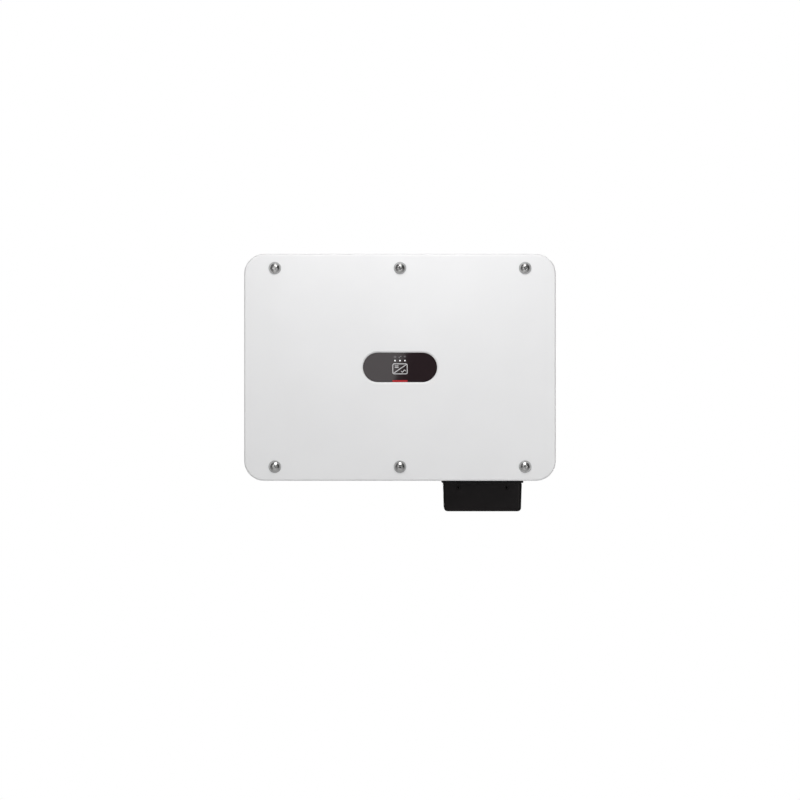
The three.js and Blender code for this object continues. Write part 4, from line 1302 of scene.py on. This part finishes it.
def lid_screw(side_name):
    node = f"ac_box_screw_{side_name}"
    low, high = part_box(node)
    centre = middle(node)
    solid = Solid("front")
    head = fillet([(2 * MM, high.y), (2 * MM, low.y + 1.8 * MM), (4 * MM, low.y + 1.8 * MM),
                   (4 * MM, low.y + 0.5 * MM), (2.2 * MM, low.y)], 0.4 * MM)
    solid.lathe(head, 32, (centre.x, centre.z))
    made = mesh_object(f"wiring_box_screw_{side_name}", solid, BLACK)
    drive = Solid()
    reach = 2.1 * MM
    for a, b in ((reach, 0.55 * MM), (0.55 * MM, reach)):
        drive.block((centre.x - a, low.y - 1 * MM, centre.z - b), (centre.x + a, low.y + 1.2 * MM, centre.z + b))
        carve(made, "DIFFERENCE", drive)
        drive = Solid()
    finish_piece(made, "ac_box_lid", [node], edge=0.1 * MM)


def cable_grommet():
    """A ribbed rubber sleeve whose lips hold it in the lid's floor."""
    low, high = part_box("ac_cable_grommet")
    solid = Solid("plan")
    floor = lid_low.z
    points = [
        (15 * MM, low.z + 0.6 * MM),
        (17 * MM, low.z),
        (29.5 * MM, low.z),
        (29.5 * MM, floor + 1.7 * MM),
        (24.6 * MM, floor + 1.7 * MM),
        (24.6 * MM, floor + 4.3 * MM),
        (28 * MM, floor + 4.3 * MM),
        (26 * MM, floor + 7 * MM),
        (19 * MM, high.z),
        (15 * MM, high.z),
        (15 * MM, floor + 9 * MM),
        (16.4 * MM, floor + 7.5 * MM),
        (15 * MM, floor + 6 * MM),
        (16.4 * MM, floor + 4.5 * MM),
        (15 * MM, floor + 3 * MM),
    ]
    solid.loft(lambda radius: circle(radius, 56, tuple(BOX_AT)), fillet(points, 0.5 * MM, 3), "loop")
    piece("cable_grommet_sleeve", solid, RUBBER, "ac_box_lid", ["ac_cable_grommet"], 0)


def terminal_block():
    low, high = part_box("ac_terminal_block")
    x, y, _ = middle("ac_terminal_block")
    poles = 5
    pitch = 25 * MM
    deck = EDGE_Z + 17 * MM
    solid = Solid()
    solid.block((low.x, low.y, deck), (high.x, high.y, high.z))
    for i in range(poles + 1):
        left = x + (i - poles / 2) * pitch
        solid.block((left - 1.2 * MM, low.y, low.z), (left + 1.2 * MM, high.y, deck))
    piece("terminal_block_body", solid, GREY, "enclosure", ["ac_terminal_block"], 0.5 * MM)
    metal = Solid("plan")
    for i in range(poles):
        spot = (x + (i - (poles - 1) / 2) * pitch, y)
        metal.block((spot[0] - 8.5 * MM, y - 14 * MM, deck - 3 * MM), (spot[0] + 8.5 * MM, y + 14 * MM, deck))
        metal.lathe([(3 * MM, EDGE_Z), (3 * MM, deck)], 24, spot)
        metal.tube(7.5 * MM, 3 * MM, EDGE_Z + 12.6 * MM, EDGE_Z + 13.8 * MM, 32, spot)
        nut = fillet([(-0.5 * MM, EDGE_Z + 8 * MM), (0, EDGE_Z + 8.5 * MM), (0, EDGE_Z + 12.5 * MM)], 0.2 * MM)
        metal.loft(lambda grow: hexagon(6.5 * MM + grow, spot), nut)
    piece("terminal_block_studs", metal, STEEL, "enclosure", (), 0.15 * MM)


# ------------------------------------------------------------------ electronics

def board(name, node, x0, x1, z0, z1, back):
    """A circuit board with rounded corners, 1.6 mm thick, in front of the station back."""
    solid = Solid("front")
    centre = ((x0 + x1) / 2, (z0 + z1) / 2)
    outline = lambda grow: rounded_rect(x1 - x0 + 2 * grow, z1 - z0 + 2 * grow, 3 * MM + grow, 5, centre)
    solid.prism(outline, back - 1.6 * MM, back, 0.1 * MM)
    return piece(name, solid, BOARD, "enclosure", [node] if node else (), 0)


CHIP_GRID = 4 * MM


def scatter(name, x0, x1, z0, z1, front, count, seed, blocked=()):
    """Small chips, resistors and capacitors on a board's front, clear of the blocked rectangles."""
    rng = random.Random(seed)
    dark = Solid()
    pale = Solid()
    taken = set()
    for _ in range(count):
        width = rng.choice((1.6, 2, 2.4, 3.2, 3.4, 7)) * MM
        height = width * rng.choice((0.5, 0.6, 1))
        x = x0 + 4 * MM + CHIP_GRID * rng.randrange(int((x1 - x0 - 16 * MM) / CHIP_GRID))
        z = z0 + 4 * MM + CHIP_GRID * rng.randrange(int((z1 - z0 - 16 * MM) / CHIP_GRID))
        if (x, z) in taken or any(a - width < x < b and c - height < z < d for a, b, c, d in blocked):
            continue
        taken.update((x + i * CHIP_GRID, z + k * CHIP_GRID) for i in (0, 1) for k in (0, 1))
        solid = dark if width > 3 * MM else rng.choice((dark, pale))
        solid.block((x, front - min(width * 0.4, 1.6 * MM), z), (x + width, front, z + height))
    piece(f"{name}_chips", dark, BLACK, "enclosure", (), 0.08 * MM)
    piece(f"{name}_passives", pale, PALE, "enclosure", (), 0.08 * MM)


def can_capacitor(solids, x, z, radius, back, front):
    """An electrolytic capacitor: a sleeved can whose top is scored."""
    sleeve, top = solids
    sleeve.lathe(
        fillet([(radius * 0.95, back), (radius, back - 1 * MM), (radius, front + 1.2 * MM),
                (radius * 0.9, front)], 0.8 * MM, 3), 32, (x, z))
    top.lathe([(radius * 0.82, front + 0.1 * MM), (radius * 0.82, front - 0.12 * MM)], 32, (x, z))
    for turn in (0, 1):
        reach = radius * 0.6
        a, b = (reach, 0.3 * MM) if turn else (0.3 * MM, reach)
        top.block((x - a, front - 0.28 * MM, z - b), (x + a, front - 0.1 * MM, z + b))


def winding(coil, x, z, ring, thickness, front, turns, wire):
    """Turns of wire round a toroid that lies in the front plane."""
    for k in range(turns):
        a = TAU * k / turns
        out = Vector((math.cos(a), 0, math.sin(a)))
        centre = Vector((x, front, z)) + out * ring
        loop = []
        for i in range(12):
            b = TAU * i / 12
            loop.append(centre + out * thickness * math.cos(b) + Vector((0, thickness * math.sin(b), 0)))
        coil.wire(loop, wire, 6, True)


def power_electronics():
    low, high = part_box("power_board")
    back = high.y
    front = back - 1.6 * MM
    board("power_board_plate", "power_board", low.x, high.x, low.z, high.z, back)
    films = Solid()
    blocked = []
    for i in range(4):
        x = (-205 + i * 28) * MM
        spot = (x - 13 * MM, x + 13 * MM, CENTRE_Z + 8 * MM, CENTRE_Z + 60 * MM)
        films.block((spot[0], front - 30 * MM, spot[2]), (spot[1], front, spot[3]))
        blocked.append(spot)
    piece("film_capacitors", films, PALE, "enclosure", (), 1.2 * MM)
    relays = Solid()
    for i in range(6):
        x = (155 + (i % 3) * 40) * MM
        z = CENTRE_Z + (20 if i < 3 else -40) * MM
        relays.block((x - 14 * MM, front - 22 * MM, z), (x + 14 * MM, front, z + 36 * MM))
        blocked.append((x - 14 * MM, x + 14 * MM, z, z + 36 * MM))
    piece("output_relays", relays, BLACK, "enclosure", (), 1 * MM)
    bars = Solid()
    studs = Solid("front")
    for k, z in enumerate((-70, -84, -98)):
        height = CENTRE_Z + z * MM
        bars.block((-210 * MM, front - 8 * MM, height), (120 * MM, front - 5.5 * MM, height + 5 * MM))
        for x in (-200, -130, -60, 10, 110):
            bars.block(((x - 2) * MM, front - 6 * MM, height + 1 * MM), ((x + 2) * MM, front, height + 4 * MM))
            head = fillet([(2 * MM, front - 8 * MM), (2 * MM, front - 8.7 * MM), (1 * MM, front - 9.2 * MM)], 0.3 * MM)
            studs.lathe(head, 20, (x * MM, height + 2.5 * MM))
        blocked.append((-212 * MM, 122 * MM, height - 1 * MM, height + 6 * MM))
    piece("bus_bars", bars, COPPER, "enclosure", (), 0.3 * MM)
    piece("bus_bar_screws", studs, STEEL, "enclosure", (), 0)
    scatter("power_board", low.x, high.x, low.z, high.z, front, 420, 11, blocked)

    low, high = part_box("power_module")
    module = Solid()
    module.block((low.x, high.y - 7 * MM, low.z), (high.x, high.y, high.z))
    for i in range(3):
        x = (i - 1) * 110 * MM
        module.block((x - 42 * MM, low.y, CENTRE_Z - 24 * MM), (x + 42 * MM, low.y + 6 * MM, CENTRE_Z + 24 * MM))
    piece("power_module_cases", module, EPOXY, "enclosure", ["power_module"], 0.6 * MM)


def magnetics():
    """Wound chokes potted in an aluminium can."""
    low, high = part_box("inductor_pack")
    rim = low.y + 6 * MM
    solid = Solid("front")
    centre = ((low.x + high.x) / 2, (low.z + high.z) / 2)
    outline = lambda grow: rounded_rect(
        high.x - low.x + 2 * grow, high.z - low.z + 2 * grow, 8 * MM + grow, 8, centre)
    can = fillet(
        [(-6 * MM, high.y), (0, high.y), (0, rim), (-2.5 * MM, rim), (-2.5 * MM, rim + 6 * MM),
         (-8 * MM, rim + 6 * MM)],
        [0, 2 * MM, 0.5 * MM, 0.5 * MM, 0, 0])
    solid.loft(outline, can)
    piece("inductor_can", solid, CAST, "enclosure", ["inductor_pack"], 0)
    fill = Solid("front")
    fill.prism(lambda grow: outline(grow - 2.6 * MM), rim + 3 * MM, rim + 8 * MM, 0.3 * MM)
    piece("inductor_potting", fill, EPOXY, "enclosure", (), 0)
    coils = Solid()
    for i in range(4):
        winding(coils, (-246 + i * 64) * MM, centre[1], 17 * MM, 5.6 * MM, rim + 1.5 * MM, 30, 1.3 * MM)
    piece("inductor_coils", coils, COPPER, "enclosure", (), 0)


def capacitor_bank():
    low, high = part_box("capacitor_bank")
    back = high.y - 9 * MM + 1.6 * MM
    front = back - 1.6 * MM
    board("capacitor_board", "capacitor_bank", low.x, high.x, low.z, high.z, back)
    sleeves = Solid("front")
    tops = Solid("front")
    for row in range(2):
        for i in range(7):
            x = (18 + i * 41) * MM
            z = CENTRE_Z + (104 + row * 40) * MM
            can_capacitor((sleeves, tops), x, z, 17 * MM, front, low.y + 0.4 * MM)
    piece("capacitor_sleeves", sleeves, BLACK, "enclosure", (), 0)
    piece("capacitor_tops", tops, CAST, "enclosure", (), 0)
    posts = Solid("front")
    for x in (0, 105, 210):
        posts.loft(lambda grow: hexagon(4 * MM + grow, (x * MM, CENTRE_Z + 124 * MM)),
                   [(0, back), (0, high.y)])
    piece("capacitor_posts", posts, STEEL, "enclosure", (), 0.2 * MM)


def control_electronics():
    low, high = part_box("control_board")
    back = low.y + 12 * MM
    front = back - 1.6 * MM
    board("control_board_plate", "control_board", low.x, high.x, low.z, high.z, back)
    chips = Solid()
    leads = Solid()
    blocked = []
    places = [(-20, 20, -30, 10), (40, 64, -20, 4), (-70, -50, -60, -40)]
    for x0, x1, z0, z1 in places:
        box = [x0 * MM, x1 * MM, CENTRE_Z + z0 * MM, CENTRE_Z + z1 * MM]
        blocked.append((box[0] - 2 * MM, box[1] + 2 * MM, box[2] - 2 * MM, box[3] + 2 * MM))
        chips.block((box[0], front - 2.4 * MM, box[2]), (box[1], front - 0.2 * MM, box[3]))
        pins = round((x1 - x0) / 1.3)
        for k in range(pins):
            x = box[0] + (k + 0.5) * (box[1] - box[0]) / pins
            leads.block((x - 0.25 * MM, front - 0.9 * MM, box[2] - 1.2 * MM),
                        (x + 0.25 * MM, front, box[3] + 1.2 * MM))
            z = box[2] + (k + 0.5) * (box[3] - box[2]) / pins
            leads.block((box[0] - 1.2 * MM, front - 0.9 * MM, z - 0.25 * MM),
                        (box[1] + 1.2 * MM, front, z + 0.25 * MM))
    piece("control_leads", leads, STEEL, "enclosure", (), 0)
    piece("control_chips", chips, EPOXY, "enclosure", (), 0.15 * MM)
    headers = Solid()
    for x0, x1, z0, z1 in ((-92, -60, 22, 34), (60, 92, 22, 34), (-30, 30, -76, -66)):
        box = [x0 * MM, x1 * MM, CENTRE_Z + z0 * MM, CENTRE_Z + z1 * MM]
        blocked.append(tuple(box))
        headers.block((box[0], low.y, box[2]), (box[1], front, box[2] + 1.6 * MM))
        headers.block((box[0], low.y, box[3] - 1.6 * MM), (box[1], front, box[3]))
        headers.block((box[0], low.y, box[2]), (box[0] + 1.6 * MM, front, box[3]))
        headers.block((box[1] - 1.6 * MM, low.y, box[2]), (box[1], front, box[3]))
        headers.block((box[0], front - 3 * MM, box[2]), (box[1], front, box[3]))
        k = box[0] + 4 * MM
        while k < box[1] - 3 * MM:
            headers.block((k, low.y + 2 * MM, (box[2] + box[3]) / 2 - 0.4 * MM),
                          (k + 0.8 * MM, front, (box[2] + box[3]) / 2 + 0.4 * MM))
            k += 3.2 * MM
    piece("control_headers", headers, PALE, "enclosure", (), 0.15 * MM)
    posts = Solid("front")
    for x in (-94, 94):
        for z in (-74, 34):
            spot = (x * MM, CENTRE_Z + z * MM)
            posts.loft(lambda grow: hexagon(3 * MM + grow, spot), [(0, back), (0, high.y)])
            posts.lathe(fillet([(2.8 * MM, front), (2.8 * MM, front - 1.2 * MM), (1 * MM, front - 2 * MM)],
                               0.6 * MM), 24, spot)
    piece("control_posts", posts, STEEL, "enclosure", (), 0.1 * MM)
    scatter("control_board", low.x, high.x, low.z, high.z, front, 260, 5, blocked)


def mains_filter():
    low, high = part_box("filter_board")
    front = low.y + 26 * MM
    board("filter_board_plate", "filter_board", 90 * MM, 288 * MM, low.z, high.z, front + 1.6 * MM)
    cores = Solid("front")
    coils = Solid()
    blocked = []
    for x in (125, 180):
        spot = (x * MM, CENTRE_Z - 151 * MM)
        cores.tube(20 * MM, 11 * MM, front - 12 * MM, front - 2 * MM, 40, spot)
        winding(coils, *spot, 15.4 * MM, 6.2 * MM, front - 7 * MM, 26, 1.1 * MM)
        blocked.append((spot[0] - 23 * MM, spot[0] + 23 * MM, low.z, high.z))
    piece("choke_cores", cores, EPOXY, "enclosure", (), 0.5 * MM)
    piece("choke_coils", coils, COPPER, "enclosure", (), 0)
    films = Solid()
    for x in (222, 248):
        films.block(((x - 10) * MM, front - 18 * MM, CENTRE_Z - 172 * MM), ((x + 10) * MM, front, CENTRE_Z - 132 * MM))
        blocked.append(((x - 11) * MM, (x + 11) * MM, low.z, high.z))
    piece("filter_capacitors", films, YELLOW_FILM, "enclosure", (), 1 * MM)
    scatter("filter_board", 90 * MM, 288 * MM, low.z, high.z, front, 120, 8, blocked)


def surge_protector():
    low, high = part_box("surge_protector")
    case = Solid()
    case.block((low.x, low.y + 10 * MM, low.z), (high.x, high.y, high.z))
    piece("surge_protector_case", case, GREY, "enclosure", ["surge_protector"], 0.8 * MM)
    inserts = Solid()
    lights = Solid()
    for i in range(6):
        x = (-204 + i * 27.6) * MM
        inserts.block((x - 11 * MM, low.y, low.z + 6 * MM), (x + 11 * MM, low.y + 11 * MM, high.z - 6 * MM))
        lights.block((x - 3 * MM, low.y - 0.1 * MM, high.z - 14 * MM), (x + 3 * MM, low.y + 1 * MM, high.z - 11 * MM))
    piece("surge_protector_inserts", inserts, BLACK, "enclosure", (), 1 * MM)
    piece("surge_protector_flags", lights, BOARD, "enclosure", (), 0.2 * MM)


def earth_mark():
    """The generic protective earth symbol beside the earthing bolt."""
    centre = middle("earth_bolt")
    face = BODY_WIDTH / 2
    solid = Solid("side")
    ink = [face - 0.1 * MM, face + 0.08 * MM]
    y, z = centre.y, centre.z + 18 * MM
    for k, width in enumerate((9, 6, 3)):
        bar = rounded_rect(width * MM, 0.9 * MM, 0.4 * MM, 3, (y, z - k * 2 * MM))
        solid.prism(lambda grow: bar, *ink)
    stem = rounded_rect(0.9 * MM, 5 * MM, 0.4 * MM, 3, (y, z + 2.4 * MM))
    solid.prism(lambda grow: stem, *ink)
    piece("earth_symbol", solid, GREY, "enclosure", (), 0)


# ------------------------------------------------------------------ the model

front_cover()
for node in SCREWS:
    cover_screw(node)
indicator()
lamp_board()
housing()
gasket()
heat_sink()
wall_bracket()
hanger("left", -1)
hanger("right", 1)
hex_bolt("lock_bolt_left", "bracket_lock_bolt_left", -1)
hex_bolt("lock_bolt_right", "bracket_lock_bolt_right", 1)
hex_bolt("earthing_bolt", "earth_bolt", 1)
isolator()
for node in PLUS:
    connector(node, False)
for node in MINUS:
    connector(node, True)
port("com_port", "com_port_cap", 11 * MM)
port("dongle_port", "dongle_port_cap", 13 * MM)
vent()
wiring_box_base()
wiring_box_lid()
lid_screw("left")
lid_screw("right")
cable_grommet()
terminal_block()
power_electronics()
magnetics()
capacitor_bank()
control_electronics()
mains_filter()
surge_protector()
earth_mark()


# ------------------------------------------------------------------ studio

FLOOR_Z = -1.25
FLOOR_GLOW = 0.5  # keeps the floor pale in the camera's view, and doesn't light the object
VIEW_WIDTH = 1.643  # how much of the cover's plane the picture spans
VIEW_DISTANCE = 8.0
AIM_Z = CENTRE_Z - 67 * MM
LENS_SENSOR = 36.0
WALL_STOPS = (0, 0.325, 0.5, 0.75, 1)
WINDOW_GLEAM_TURN = -21.6  # the light that the window mirrors leans by this many degrees


def floor():
    solid = Solid("plan")
    solid.prism(lambda grow: rounded_rect(9 + grow, 6 + grow, 0.4, 8, (0, -2.2)), FLOOR_Z - 0.02, FLOOR_Z)
    look = Look("pale_floor", (0.82, 0.82, 0.82), 0.6)
    look.tint(look.noise(3, 2), 0.99, 1.01)
    look.bump(look.noise(300, 2), 0.02 * MM, 0.3)
    glow = look.tree.nodes.new("ShaderNodeMath")
    glow.operation = "MULTIPLY"
    glow.inputs[1].default_value = FLOOR_GLOW
    look.link(look.tree.nodes.new("ShaderNodeLightPath").outputs["Is Camera Ray"], glow.inputs[0])
    look.link(glow.outputs[0], look.shader.inputs["Emission Strength"])
    look.shader.inputs["Emission Color"].default_value = (1, 1, 1, 1)
    made = mesh_object("studio_floor", solid, look.material)


def softbox(name, place, aim, size, power, turn=0.0, colour=(1, 1, 1)):
    """A rectangular studio light. turn is in degrees about its own axis."""
    data = bpy.data.lights.new(name, "AREA")
    data.shape = "RECTANGLE"
    data.size, data.size_y = size
    data.energy = power
    data.color = colour
    lamp = bpy.data.objects.new(name, data)
    bpy.context.scene.collection.objects.link(lamp)
    lamp.location = place
    lamp.visible_camera = False
    away = Vector(aim) - Vector(place)
    lamp.rotation_euler = (away.to_track_quat("-Z", "Y").to_matrix()
                           @ Matrix.Rotation(math.radians(turn), 3, "Z")).to_euler()
    return lamp


def surroundings(left, right, front, behind_camera):
    """White to the camera, and a dim studio to everything else.

    left and right are the walls' shades at WALL_STOPS, from the floor up. front is the shades low and
    high round the camera, and behind_camera is the dark patch that the window mirrors.
    """
    world = bpy.data.worlds.new("studio")
    bpy.context.scene.world = world
    world.use_nodes = True
    tree = world.node_tree
    tree.nodes.clear()
    link = tree.links.new

    def ranged(source, low, high, smooth="SMOOTHSTEP", to=(0, 1)):
        node = tree.nodes.new("ShaderNodeMapRange")
        node.interpolation_type = smooth
        for name, value in zip(("From Min", "From Max", "To Min", "To Max"), (low, high, *to)):
            node.inputs[name].default_value = value
        link(source, node.inputs["Value"])
        return node.outputs["Result"]

    def shaded(source, stops, shades):
        node = tree.nodes.new("ShaderNodeValToRGB")
        elements = node.color_ramp.elements
        while len(elements) < len(stops):
            elements.new(0.5)
        for element, stop, shade in zip(elements, stops, shades):
            element.position = stop
            element.color = (shade, shade, shade, 1)
        link(source, node.inputs["Fac"])
        return node.outputs["Color"]

    def mixed(share, first, second):
        node = tree.nodes.new("ShaderNodeMix")
        node.data_type = "RGBA"
        link(share, node.inputs[0])
        link(first, node.inputs[6])
        link(second, node.inputs[7])
        return node.outputs[2]

    split = tree.nodes.new("ShaderNodeSeparateXYZ")
    link(tree.nodes.new("ShaderNodeTexCoord").outputs["Generated"], split.inputs["Vector"])
    across, depth, height = (split.outputs[axis] for axis in "XYZ")
    level = ranged(height, -1, 1, "LINEAR")
    walls = mixed(ranged(across, -0.35, 0.35), shaded(level, WALL_STOPS, left), shaded(level, WALL_STOPS, right))
    facing = ranged(depth, -0.8, -0.55, to=(1, 0))
    room = mixed(facing, walls, shaded(level, (0.3, 0.7), front))
    dark = shaded(level, (0, 1), (behind_camera, behind_camera))
    room = mixed(ranged(depth, -0.998, -0.98, to=(1, 0)), room, dark)

    output = tree.nodes.new("ShaderNodeOutputWorld")
    mix = tree.nodes.new("ShaderNodeMixShader")
    backdrop = tree.nodes.new("ShaderNodeBackground")
    backdrop.inputs["Color"].default_value = (1, 1, 1, 1)
    studio = tree.nodes.new("ShaderNodeBackground")
    link(room, studio.inputs["Color"])
    link(tree.nodes.new("ShaderNodeLightPath").outputs["Is Camera Ray"], mix.inputs["Fac"])
    link(studio.outputs["Background"], mix.inputs[1])
    link(backdrop.outputs["Background"], mix.inputs[2])
    link(mix.outputs["Shader"], output.inputs["Surface"])


def camera():
    data = bpy.data.cameras.new("front_camera")
    data.sensor_width = LENS_SENSOR
    data.lens = LENS_SENSOR * VIEW_DISTANCE / VIEW_WIDTH
    data.clip_end = 100
    made = bpy.data.objects.new("front_camera", data)
    bpy.context.scene.collection.objects.link(made)
    made.location = (0, FACE_Y - VIEW_DISTANCE, AIM_Z)
    made.rotation_euler = (math.pi / 2, 0, 0)
    bpy.context.scene.camera = made


camera()
floor()
surroundings(
    left=(0.12, 0.1, 0.15, 0.2, 0.25),
    right=(0.12, 0.04, 0.04, 0.12, 0.2),
    front=(0.05, 0.15),
    behind_camera=0.0,
)
bpy.context.scene.view_settings.view_transform = "Standard"
cover_middle = (0, FACE_Y, CENTRE_Z)
softbox("light_ceiling", (0, -1.2, 3), cover_middle, (1.5, 1), 7.2)
softbox("light_above", (0.06, -0.8, 0.9), cover_middle, (0.7, 0.3), 3.3)
softbox("light_brow", (0.06, -1, 0.6), cover_middle, (0.7, 0.3), 3.2)
softbox("light_front", (-1.2, -4, 0.3), cover_middle, (1.5, 1.5), 11.2)
softbox("light_left", (-0.9, -1.4, 0), cover_middle, (0.5, 0.5), 3.4)
softbox("light_right", (0.8, -1.4, -0.3), cover_middle, (0.5, 0.5), 4.7)
softbox("light_behind", (0.7, 3, 0.1), (0, 0, CENTRE_Z), (2.4, 2), 70)
softbox("light_floor", (-0.2, -1, -1.1), (0, -0.15, UNDERSIDE_Z), (1, 1), 1.5)
softbox("window_reflection", (-0.186, -9, 0.087), (-0.186, 0, 0.087), (0.4, 0.6), 1.18, WINDOW_GLEAM_TURN)
